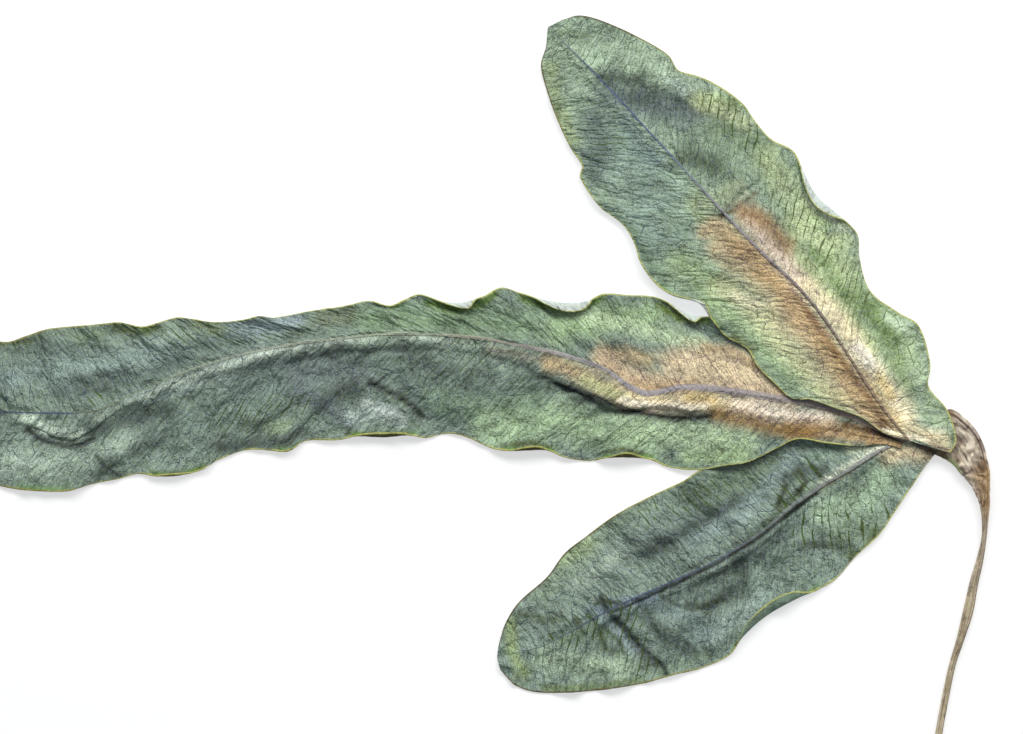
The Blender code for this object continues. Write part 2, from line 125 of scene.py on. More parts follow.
def distance_to_line(points, line):
    """For each point, in plan: distance to a line of straight pieces, its side, and the share along it."""
    line = to_mm(line)[:, :2]
    best = np.full(points.shape[:-1], 1e9)
    side, share = np.zeros_like(best), np.zeros_like(best)
    lengths = plan_steps(line)
    starts = np.concatenate([[0.0], np.cumsum(lengths)])
    for a, b, length, start in zip(line, line[1:], lengths, starts):
        along = np.clip(((points[..., :2] - a) @ (b - a)) / length**2, 0, 1)
        off = points[..., :2] - (a + along[..., None] * (b - a))
        gap = np.hypot(off[..., 0], off[..., 1])
        turn = (b - a)[0] * off[..., 1] - (b - a)[1] * off[..., 0]
        nearer = gap < best
        best = np.where(nearer, gap, best)
        side = np.where(nearer, np.sign(turn), side)
        share = np.where(nearer, (start + along * length) / starts[-1], share)
    return best, side, share


print("a wave of noise reads", np.round(value_noise(np.arange(3) + 0.5, np.zeros(3), 1), 3))

# %% [markdown]
# ## The three midribs and their margins
# Each lobe is described the way a botanist would draw it: a midrib, and a margin on either
# side. A margin's points sit on the crests and in the troughs of its waves. At a crest the
# leaf lies flat to its edge. In a trough the edge has dried upwards and leans back over the
# leaf, so a strip of its underside shows outside it. The third number says how far it has
# turned: 0 is flat, 90 upright, 150 leaning well back. The fourth is the leaf's height there.

# %% Upper lobe
UPPER_RIB = [
    (910, 441, 4.9), (886, 412, 6.0), (858, 370, 6.6), (826, 321, 6.2), (799, 288, 5.6),
    (762, 253, 4.8), (724, 213, 4.0), (690, 176, 3.0), (650, 133, 2.1), (600, 79, 1.2), (548, 27, 0.3),
]
UPPER_RIGHT = [
    (950, 453, 10, 5.2), (956, 440, 20, 5.4), (947, 410, 0, 4.6), (928, 386, -40, 4.2),
    (930, 364, 10, 4.6), (918, 325, 40, 3.2), (899, 313, -20, 2.9), (870, 291, -40, 3.0),
    (859, 258, -30, 3.0), (857, 234, 20, 2.8), (839, 216, 125, 2.0), (816, 196, 155, 1.5),
    (802, 170, 130, 1.6), (793, 151, 20, 2.2), (771, 139, -20, 2.0), (755, 121, -20, 1.6),
    (741, 102, 20, 1.4), (712, 82, 30, 1.0), (697, 76, -30, 0.8), (678, 70, 20, 0.8),
    (668, 55, 0, 0.8), (640, 38, 20, 0.8), (605, 22, 20, 0.8), (580, 15.5, 10, 0.6), (562, 20, 0, 0.3),
]
UPPER_LEFT = [
    (895, 437, 0, 5.0), (882, 432, 0, 5.2), (862, 418, 20, 5.3), (835, 408, 20, 5.5),
    (808, 399, 10, 5.5), (791, 398, -10, 5.4), (775, 384, 10, 4.9), (757, 366, 20, 4.5),
    (747, 349, 10, 4.2), (724, 335, 30, 3.9), (710, 317, 110, 3.3), (699, 303, 140, 2.9),
    (672, 295, 125, 2.6), (653, 281, 60, 2.2), (640, 262, 20, 1.9), (634, 243, 10, 1.9),
    (623, 225, -10, 1.7), (599, 206, 10, 1.5), (580, 177, 20, 1.2), (582, 166, 30, 1.1),
    (570, 147, 10, 0.9), (556, 117, 10, 0.8), (546, 88, 10, 0.8), (541, 65, 10, 0.6),
    (546, 47, 10, 0.4), (547, 37, 0, 0.3),
]
print("upper midrib:", round(plan_steps(to_mm(UPPER_RIB)).sum()), "mm long in plan")

# %% Long lobe
LONG_RIB = [
    (905, 440, 3.3), (885, 431, 3.5), (835, 409, 3.7), (770, 397, 4.2), (715, 389, 4.2), (680, 388, 4.1),
    (650, 394, 3.9), (632, 387, 3.9), (608, 370, 3.9), (580, 359, 3.8), (540, 349, 3.6), (480, 338, 3.4),
    (400, 333, 3.4), (330, 339, 3.4), (260, 350, 3.2), (200, 367, 3.0), (140, 391, 2.8), (96, 411, 2.4),
    (50, 413, 2.0), (0, 412, 1.7), (-60, 410, 1.5), (-120, 407, 0.9), (-182, 404, 0.3),
]
LONG_UPPER = [
    (898, 430, 0, 3.4), (880, 413, 0, 2.9), (830, 366, 0, 2.4), (780, 332, 0, 2.0),
    (735, 314, 0, 1.8), (706, 317, 90, 1.6), (690, 315, 152, 1.4), (672, 305, 125, 1.4),
    (655, 297, 30, 1.2), (628, 295, 10, 1.0), (603, 294, 30, 0.9), (588, 301, 130, 0.9),
    (567, 303.5, 160, 0.8), (543, 300, 147, 0.8), (520, 293, 50, 0.8), (501, 287.5, 20, 0.8),
    (484, 296, 70, 0.7), (462, 303, 155, 0.6), (443, 302, 125, 0.7), (419, 294.5, 20, 0.8),
    (404, 300, 60, 0.7), (390, 306, 85, 0.6), (368, 301, 20, 0.7), (345, 306, 30, 0.7),
    (310, 311, 10, 0.6), (273, 318, 20, 0.6), (260, 316, 10, 0.6), (242, 320, 10, 0.7),
    (213, 322, 40, 0.8), (178, 317.5, 10, 0.8), (160, 322, 50, 0.7), (142, 327, 85, 0.6),
    (120, 322.5, 40, 0.6), (90, 325, 10, 0.6), (48, 329, 10, 0.6), (26, 336, 30, 0.6),
    (8, 342, 60, 0.6), (-14, 340, 20, 0.6), (-38, 343, 20, 0.6), (-66, 349, 50, 0.6),
    (-92, 355, 20, 0.6), (-120, 365, 30, 0.6), (-148, 376, 20, 0.5), (-168, 387, 10, 0.4),
    (-178, 395, 0, 0.3),
]
LONG_LOWER = [
    (900, 448, 0, 3.4), (882, 444, 0, 3.3), (858, 446, 0, 3.1), (825, 443, 30, 2.8),
    (797, 439, 50, 2.8), (777, 448, 40, 2.7), (748, 462, 20, 2.6), (722, 466, 30, 2.4),
    (698, 470, 20, 1.8), (668, 467, 10, 1.2), (649, 459, 90, 0.9), (622, 457, 145, 0.8),
    (604, 458, 95, 0.7), (590, 461, 10, 0.6), (563, 457, 20, 0.5), (547, 450, 110, 0.6),
    (528, 450, 140, 0.7), (507, 450.5, 95, 0.7), (491, 448, 10, 0.8), (466, 437, 20, 0.9),
    (447, 433.5, 40, 0.9), (425, 438, 20, 0.8), (409, 435, 110, 0.8), (384, 437, 140, 0.8),
    (356, 436, 110, 0.8), (338, 440, 20, 0.7), (306, 441, 20, 0.7), (288, 451, 120, 0.6),
    (272, 450.5, 60, 0.6), (246, 450, 10, 0.7), (218, 460, 20, 0.7), (203, 469, 80, 0.6),
    (180, 475, 120, 0.6), (157, 476, 110, 0.6), (138, 474, 20, 0.6), (118, 479, 10, 0.6),
    (92, 484, 20, 0.6), (70, 490.5, 70, 0.6), (44, 491, 110, 0.6), (18, 489, 80, 0.6),
    (0, 486, 20, 0.6), (-30, 479, 10, 0.6), (-62, 469, 50, 0.6), (-92, 458, 20, 0.6),
    (-122, 446, 40, 0.6), (-150, 433, 10, 0.5), (-169, 422, 10, 0.4), (-178, 413, 0, 0.3),
]
print("long midrib:", round(plan_steps(to_mm(LONG_RIB)).sum()), "mm long in plan")

# %% Lower lobe
LOWER_RIB = [
    (916, 436, 2.5), (880, 450, 2.4), (850, 469, 2.8), (815, 490, 2.8), (790, 508, 2.6), (760, 533, 2.4),
    (715, 561, 2.2), (660, 587, 1.9), (611, 609, 1.6), (570, 632, 1.2), (540, 647, 0.7), (497, 657, 0.3),
]
LOWER_UPPER = [
    (900, 427, 0, 2.0), (880, 440, 0, 1.4), (858, 441, 0, 1.1), (825, 437, 0, 0.9),
    (797, 434, 0, 0.9), (766, 446, 0, 0.8), (735, 457, 0, 0.8), (700, 470, 10, 0.8),
    (683, 481, 20, 0.8), (651, 496, 0, 0.8), (617, 514, 20, 0.8), (588, 535, 10, 0.8),
    (565, 553, 30, 0.7), (547, 577, 10, 0.7), (519, 602, 10, 0.6), (506, 622, 30, 0.5),
    (500, 640, 10, 0.4), (498.5, 647, 0, 0.3),
]
LOWER_RIGHT = [
    (946, 440, 0, 2.4), (924, 468, -10, 2.4), (906, 495, -10, 2.2), (892, 516, 20, 1.8),
    (879, 535, 20, 1.4), (855, 557, 10, 1.0), (838, 577, 20, 0.8), (821, 588, 70, 0.7),
    (795, 599, 150, 0.7), (764, 617, 165, 0.7), (742, 637, 145, 0.7), (729, 655, 60, 0.7),
    (702, 668, 20, 0.7), (673, 675, 30, 0.7), (640, 684, 20, 0.7), (600, 690, 40, 0.6),
    (566, 692.5, 30, 0.6), (535, 692, 20, 0.6), (515, 685, 10, 0.4), (500.5, 670, 0, 0.3),
]
print("lower midrib:", round(plan_steps(to_mm(LOWER_RIB)).sum()), "mm long in plan")

# %% [markdown]
# ## Pleats beside the midribs
# A drying leaf shrinks more than its midrib, so folds form along the rib. A pleat is given
# at shares of the lobe's length: how many pixels from the midrib its crest lies, how many
# millimetres the leaf drops behind it, and how many pixels wide that drop is. A width below
# nothing makes the crest overhang, which casts the black line under the long lobe's two
# folds, deepened there by a painted shadow.

# %% Pleats
UPPER_RIGHT_PLEAT = [(0.0, 7, 0.3, 6), (0.15, 16, 1.2, 12), (0.6, 12, 1.2, 12), (1.0, 4, 0.2, 5)]
UPPER_LEFT_PLEAT = [(0.0, 3, 0.2, 3), (0.1, 14, 1.0, 14), (0.6, 14, 1.4, 14), (1.0, 4, 0.2, 5)]
LONG_UPPER_PLEAT = [
    (0.0, 2, 0.1, 2), (0.08, 10, 0.8, 12), (0.3, 9, 1.4, 10), (0.42, 5, 1.7, 5), (0.72, 5, 1.7, 4),
    (0.78, 6, 0.6, 8), (1.0, 4, 0.1, 4),
]
LONG_LOWER_PLEAT = [
    (0.0, 2, 0.1, 2), (0.07, 12, 0.5, 12), (0.15, 24, 0.9, 8), (0.168, 28, 1.2, 1), (0.18, 33, 1.5, -4),
    (0.205, 28, 1.9, -6), (0.228, 22, 1.9, -6), (0.243, 27, 1.9, -6), (0.256, 33, 1.9, -6),
    (0.289, 36, 1.8, -4), (0.31, 32, 1.6, 0), (0.345, 20, 1.2, 5), (0.4, 9, 1.4, 8), (0.7, 8, 1.5, 8),
    (0.73, 14, 1.3, 5), (0.742, 26, 1.4, 0), (0.756, 34, 1.7, -4), (0.776, 28, 1.8, -4),
    (0.796, 18, 1.5, -2), (0.813, 10, 1.0, 4), (0.83, 8, 0.6, 6), (0.87, 8, 0.3, 8), (1.0, 4, 0.1, 4),
]
LOWER_UPPER_PLEAT = [(0.0, 2, 0.1, 2), (0.12, 8, 0.9, 8), (0.5, 12, 0.8, 14), (1.0, 4, 0.1, 5)]
LOWER_RIGHT_PLEAT = [
    (0.0, 3, 0.1, 3), (0.12, 6, 1.0, 6), (0.45, 5, 1.5, 5), (0.75, 5, 0.7, 6), (1.0, 4, 0.1, 5),
]
print("the deepest pleat drops", max(drop for _, _, drop, _ in LONG_LOWER_PLEAT), "mm")

# %% [markdown]
# ## One half of a cross-section
# The rows of the leaf's grid run along its side veins, from the midrib to the margin, so that
# wrinkles and veins can later follow the grid. Each row is a smooth line through a few
# stations: the rib's foot, the pleat's crest and foot, the middle of the leaf, the start of
# the curl, and an arc for the curl itself. A lattice of control points with one subdivision
# surface would also do, but its edges shrink, and here the outline has to stay exact.

# %% Cross-section
CURL_BAND_MM = 4.6  # how much of the leaf beside its margin takes part in a curl
CURL_FLATTEN = 0.36  # a curl's height against that of a round arc
RIB_FOOT_MM = 0.8
PILLOW_MM = 0.25  # how far the leaf swells between the pleat and the curl
LEAST_TURN = 0.01  # radians: a flat margin counts as turned by this little, so that nothing is divided by 0
CROWDING = 0.075  # brings the columns at the rib and the margin to about half their even distance


def half_section(rib, edge, pleat):
    """Stations across one half lobe, as distance out from the midrib and height, both (rows, stations).

    The curl is an arc whose radius makes its widest point reach the outline. Where the half is
    narrow, near the tip, each width is held to a share of it, so the stations keep their order."""
    width = np.linalg.norm(edge[:, :2] - rib[:, :2], axis=1)
    band = np.minimum(CURL_BAND_MM, 0.42 * width)
    flat = width - band
    foot = np.minimum(RIB_FOOT_MM, 0.15 * width)
    crest = np.clip(pleat[:, 0] * MM_PER_PX, foot + 0.1 * flat, 0.6 * flat)
    slope = np.minimum(pleat[:, 2] * MM_PER_PX, 0.55 * (flat - crest))
    z_rib, z_edge, drop = rib[:, 2], edge[:, 3], pleat[:, 1]
    inner = crest + np.maximum(slope, 0)
    middle = 0.4 * (z_rib - drop) + 0.6 * z_edge + PILLOW_MM
    out = [0 * foot, foot, crest, crest + slope, 0.5 * (inner + flat), flat]
    up = [z_rib, z_rib, z_rib - 0.25 * drop, z_rib - drop, middle, z_edge]
    turn = np.radians(edge[:, 2])
    turn = np.where(np.abs(turn) < LEAST_TURN, LEAST_TURN, turn)
    widest = np.sin(np.minimum(np.abs(turn), np.pi / 2))
    for share in np.linspace(0.2, 1.0, 5):
        out.append(flat + band * np.sin(np.abs(turn) * share) / widest)
        up.append(z_edge + CURL_FLATTEN * band * np.sign(turn) * (1 - np.cos(turn * share)) / widest)
    return np.stack(out, 1), np.stack(up, 1)


def smooth_stations(out, up, columns, pieces=12):
    """Hermite curve through each row's stations, read at columns spaced closer at rib and margin.

    Returns distance out, height, and distance along the section in millimetres."""
    step = np.hypot(np.diff(out), np.diff(up)) + 1e-6
    u = np.arange(pieces) / pieces
    fine = []
    for line in (out, up):
        slope = np.empty_like(line)
        slope[:, 1:-1] = (line[:, 2:] - line[:, :-2]) / (step[:, 1:] + step[:, :-1])
        slope[:, 0] = (line[:, 1] - line[:, 0]) / step[:, 0]
        slope[:, -1] = (line[:, -1] - line[:, -2]) / step[:, -1]
        ends = (part[..., None] for part in (line[:, :-1], line[:, 1:], slope[:, :-1], slope[:, 1:]))
        curve = hermite(u, step[..., None], *ends)
        fine.append(np.concatenate([curve.reshape(len(line), -1), line[:, -1:]], axis=1))
    run = np.cumsum(np.hypot(np.diff(fine[0]), np.diff(fine[1])), 1)
    length = np.concatenate([np.zeros((len(out), 1)), run], 1)
    t = np.linspace(0, 1, columns)
    target = (t - CROWDING * np.sin(2 * np.pi * t)) * length[:, -1:]
    i = np.clip((length[:, None, :] <= target[..., None]).sum(-1) - 1, 0, length.shape[1] - 2)
    rows = np.arange(len(out))[:, None]
    w = (target - length[rows, i]) / np.maximum(length[rows, i + 1] - length[rows, i], 1e-9)
    read = [line[rows, i] * (1 - w) + line[rows, i + 1] * w for line in fine]
    return read[0], read[1], target


sample = half_section(np.zeros((1, 3)), np.array([[20.0, 0.0, 150.0, 0.0]]), np.array([[20.0, 1.0, 10.0]]))
print("a half 20 mm wide, with its margin turned by 150 degrees, has stations at", np.round(sample[0][0], 1))


# %% [markdown]
# ## A whole lobe as one grid
# Both halves share the midrib. The side veins leave it at a slant, so a row that starts at
# one share of the rib ends further on at the margin. The grid also keeps each point's place
# along the rib, its distance from the rib and its distance from the margin, in millimetres:
# the wrinkles, the veins and the colours are all drawn with those three numbers.


# %% Lobe grid
def vein_shares(shares, slant):
    """Where on a margin the side veins arrive that leave the midrib at these shares.

    The slant is the lead in mid-leaf, and is eased away towards the hub and the tip."""
    return shares + slant * eased(shares / 0.2) * eased((1 - shares) / 0.45)


def joined(left, right):
    """Both halves as one: the left one turned round, then the right one without the midrib again."""
    return np.concatenate([left[:, :0:-1], right], axis=1)


def lobe_grid(rib_px, left, right, slants, rows, columns):
    """Middle surface (rows, 2 * columns - 1, 3), the vein coordinates, and how far each point's margin curls.

    The curl counts from 0 at a margin turned by 50 degrees to 1 at one turned by 110."""
    shares = np.linspace(0, 1, rows)
    rib = smooth_curve(to_mm(rib_px), shares)
    along = shares * plan_steps(rib).sum()
    halves, across, from_edge, curls = [], [], [], []
    for (edge_px, pleat), slant in zip((left, right), slants):
        edge = smooth_curve(to_mm(edge_px), vein_shares(shares, slant))
        table = np.array(pleat)
        fold = np.stack([np.interp(shares, table[:, 0], table[:, k]) for k in (1, 2, 3)], 1)
        out, up, run = smooth_stations(*half_section(rib, edge, fold), columns)
        heading = edge[:, :2] - rib[:, :2]
        heading /= np.linalg.norm(heading, axis=1, keepdims=True)
        plan = rib[:, None, :2] + heading[:, None] * out[..., None]
        halves.append(np.concatenate([plan, up[..., None]], axis=2))
        across.append(run)
        from_edge.append(run[:, -1:] - run)
        curls.append(eased((edge[:, 2:3] - 50) / 60) + 0 * run)
    distance = joined(-across[0], across[1])
    vein = np.stack([np.broadcast_to(along[:, None], distance.shape), distance, joined(*from_edge)], axis=2)
    return joined(*halves), vein, joined(*curls)


print("a side vein that starts at 0.3 of the upper midrib ends at", vein_shares(0.3, 0.14).round(2))


# %% [markdown]
# ## Relief: wrinkles, puckers and creases
# The real leaf is thin and stiff. As it dried it shrank more along the midrib than across it,
# so it wrinkled along its side veins: swells with narrow rounded furrows between them. It also
# puckers at random, and a few creases and dents cross it. An image on a plane could show this
# in one step, but no image is wanted here, and the creases are few enough to be set by hand. A
# crease is a small step: the leaf stands higher on the left of its line, and the step fades
# away from it. A dent or a swell is a soft line of height. Near the thick hub the leaf is
# stiffer, so wrinkles and puckers reach their full height only some way out from it.


# %% Relief
SWELL_GAIN = 1.5
CALM_MM = 25  # over how many millimetres the stiff hub's calm gives way to full wrinkles


def soft_line(grid, line, radius_px):
    """1 on the line, falling off as a Gaussian of the distance in plan."""
    gap = distance_to_line(grid, line)[0]
    return np.exp(-(gap / (radius_px * MM_PER_PX)) ** 2)


def relief(grid, vein, shape, seed):
    """Height to add in millimetres: puckers, wrinkles along the veins, creases, dents and swells.

    Each noise is read at places divided by the size of its features in millimetres, along the
    midrib and out from it. A wrinkle is the absolute value of a noise that is longer along the
    side veins, with its sharp zero rounded: the square root of its square and a little more.
    Also returns how near each point is to a ridge, 0 in a furrow and 1 on top."""
    along, out = vein[..., 0], vein[..., 1]
    bend = 2.2 * value_noise(along / 9, out / 9, seed)
    ripple = 0.7 * value_noise(along / 2.5, out / 3, seed + 7)
    along = along + bend + ripple
    out = out + 3.0 * value_noise(along / 8, out / 8, seed + 6)
    broad = 0.75 * value_noise(along / 8, out / 12, seed + 1)
    broad = broad + 0.45 * value_noise(along / 4, out / 5.5, seed + 8)
    folds = np.sqrt(value_noise(along / 4.6, out / 12, seed + 2) ** 2 + 0.04)
    small = value_noise(along / 2.1, out / 8, seed + 3)
    patchy = np.clip(0.6 + 0.9 * value_noise(along / 13, out / 11, seed + 4), 0.1, 1.3)
    calm = eased((vein[..., 0] + 1.5 * np.abs(vein[..., 1]) - shape["calm"]) / CALM_MM)
    strength = np.where(vein[..., 1] < 0, *shape["wrinkle"]) * patchy * (0.35 + 0.65 * calm)
    fade = eased(np.abs(vein[..., 1]) / 3.0)
    height = fade * (shape["lumps"] * (0.4 + 0.6 * calm) * broad + strength * (1.25 * folds + 0.12 * small))
    for lift, sharp, reach, line in shape["creases"]:
        gap, side, share = distance_to_line(grid, line)
        ends = eased(np.minimum(share, 1 - share) / 0.25)
        height += lift * ends * np.tanh(side * gap / sharp) * np.exp(-(gap / reach) ** 2)
    for lift, radius, line in shape["swells"]:
        height += SWELL_GAIN * lift * soft_line(grid, line, radius)
    return height, 1 - (1 - folds) ** 2 * np.minimum(strength, 1) * fade


# %% [markdown]
# ## From a middle surface to a thin leaf
# Blender's Solidify would give the leaf its thickness, but the underside must also stop at the
# ground, and the midrib is thicker than the blade. So both faces are worked out: the middle
# surface moved half the thickness each way along its normal, with the underside held above
# the ground, and a wall round the edge joins them.

# %% Leaf mesh
LEAF_MM = 0.36
GROUND_MM = 0.03  # how far above the ground the lowest faces are held
RIDGE_MM = 0.5  # half the width of the midrib's ridge
KINDS = {1: ("FLOAT", "value"), 3: ("FLOAT_VECTOR", "vector"), 4: ("FLOAT_COLOR", "color")}


def mesh_object(name, points, faces, attributes):
    """A smooth object at the origin, from points in mm, four-cornered faces and values for each point."""
    mesh = bpy.data.meshes.new(name)
    mesh.vertices.add(len(points))
    mesh.vertices.foreach_set("co", (points * 0.001).astype(np.float32).ravel())
    mesh.loops.add(faces.size)
    mesh.loops.foreach_set("vertex_index", faces.astype(np.int32).ravel())
    mesh.polygons.add(len(faces))
    mesh.polygons.foreach_set("loop_start", np.arange(0, faces.size, 4, dtype=np.int32))
    mesh.update(calc_edges=True)
    mesh.validate()
    mesh.shade_smooth()
    for key, values in attributes.items():
        values = np.asarray(values, np.float32).reshape(len(points), -1)
        kind, field = KINDS[values.shape[1]]
        mesh.attributes.new(key, kind, "POINT").data.foreach_set(field, values.ravel())
    piece = bpy.data.objects.new(name, mesh)
    bpy.context.scene.collection.objects.link(piece)
    print(name, "has", len(points), "points and", 2 * len(faces), "triangles")
    return piece


def grid_normals(grid):
    """Unit normal at each point: the cross product of the grid's two central differences."""
    normal = np.cross(np.gradient(grid, axis=1), np.gradient(grid, axis=0))
    return normal / np.maximum(np.linalg.norm(normal, axis=2, keepdims=True), 1e-9)


def leaf_mesh(name, grid, out, rib_mm, attributes, under):
    """Closed shell of a grid: each face is the grid moved half the thickness along its normal.

    rib_mm is how far the midrib stands proud of the leaf in each row. under holds the attributes
    that have other values on the underside than on the top."""
    ridge = rib_mm[:, None] * np.exp(-(out / RIDGE_MM) ** 2)
    normal = grid_normals(grid)
    top = grid + normal * (LEAF_MM / 2 + ridge)[..., None]
    bottom = grid - normal * (LEAF_MM / 2 + ridge)[..., None]
    bottom[..., 2] = np.maximum(bottom[..., 2], GROUND_MM)
    apart = 0.3 * LEAF_MM * np.abs(normal[..., 2]) + 0.02
    turned = normal[..., 2] < 0  # a curl past upright lies upside down: its top face is the lower one
    top[..., 2] = np.maximum(top[..., 2], np.where(turned, GROUND_MM, bottom[..., 2] + apart))
    bottom[..., 2] = np.maximum(bottom[..., 2], np.where(turned, top[..., 2] + apart, GROUND_MM))
    rows, columns = out.shape
    count = rows * columns
    index = np.arange(count).reshape(rows, columns)
    quads = np.stack([index[:-1, :-1], index[:-1, 1:], index[1:, 1:], index[1:, :-1]], -1).reshape(-1, 4)
    rim = np.concatenate([index[0, :-1], index[:-1, -1], index[-1, :0:-1], index[:0:-1, 0]])
    ahead = np.roll(rim, -1)
    wall = np.stack([ahead, rim, rim + count, ahead + count], -1)
    faces = np.concatenate([quads, quads[:, ::-1] + count, wall])
    points = np.concatenate([top.reshape(-1, 3), bottom.reshape(-1, 3)])
    both = {}
    for key, values in attributes.items():
        sides = (values, under.get(key, values))
        both[key] = np.concatenate([side.reshape(count, -1) for side in sides])
    both["underside"] = np.repeat([0.0, 1.0], count)
    return mesh_object(name, points, faces, both)


# %% [markdown]
# ## Colour by brush
# The frond has dried unevenly: tan and brown along the midribs near the hub, pale green
# beside that, blue-green over most of the blade, slate patches where it is thick. Those are
# places and not a pattern, so each is a brush stroke: a colour, how much of it, a radius in
# pixels and a line. Strokes are laid one over another, as with wet paint, and their edges run
# out in streaks along the side veins, because that is how the leaf's tissue dried. Colours
# are picked as the eye sees them on a screen, and turned to the linear numbers that light
# adds up in.
# Some strokes are painted light: shadows under folds, in creases and under the lobes that lie over others,
# and highlights on crests and swells.


# %% Brush
BRUSH_REACH = 1.85  # a stroke has faded away at this many of its radii
CONTRAST = 0.18  # power of the mean that gives back what strokes laid over one another lose
CONTRAST_GAIN = 1.36


def linear(code):
    """#rrggbb to linear red, green, blue, alpha."""
    value = np.array([int(code[k:k + 2], 16) for k in (1, 3, 5)]) / 255
    return (*np.where(value <= 0.04045, value / 12.92, ((value + 0.055) / 1.055) ** 2.4), 1.0)


def toward(colour, code, share):
    """Each point's colour moved towards one colour by the point's share."""
    return colour + (np.array(linear(code)[:3]) - colour) * share[..., None]


def paint(grid, vein, base, strokes, seed):
    """Linear colour of each point: the base with each soft stroke laid over it in turn.

    The distance from a stroke's line is made ragged by noises of 1.5 by 4 and 5 by 7 mm. In the
    end each colour is multiplied by a power of its own mean, so that dark places get darker."""
    along, out = vein[..., 0], vein[..., 1]
    ragged = 1 + 0.12 * value_noise(along / 1.5, out / 4, seed)
    ragged = ragged + 0.22 * value_noise(along / 5, out / 7, seed + 1)
    colour = np.empty(grid.shape)
    colour[:] = linear(base)[:3]
    for code, amount, radius, line in strokes:
        gap = distance_to_line(grid, line)[0] / (radius * MM_PER_PX) * ragged
        colour = toward(colour, code, amount * (1 - eased(gap / BRUSH_REACH)))
    return colour * (CONTRAST_GAIN * colour.mean(axis=-1, keepdims=True) ** CONTRAST)


print("mid grey, #808080, is", round(linear("#808080")[0], 3), "in linear light")


# %% [markdown]
# ## Paint and creases of each lobe
# A stroke is a colour, how much of it, a radius in pixels and a line. In a lobe's shape,
# wrinkle and lumps say how high its wrinkles (left and right of the midrib) and its puckers
# are, and calm how many millimetres from the hub they begin to grow. A crease is its height,
# its sharpness and its reach in millimetres and a line, and a swell its height, a radius in
# pixels and a line.
#
# The upper lobe is blue-grey at its tip and green at its right margin, with a broad tan and
# cream blade on both sides of the midrib below a sharp crease.

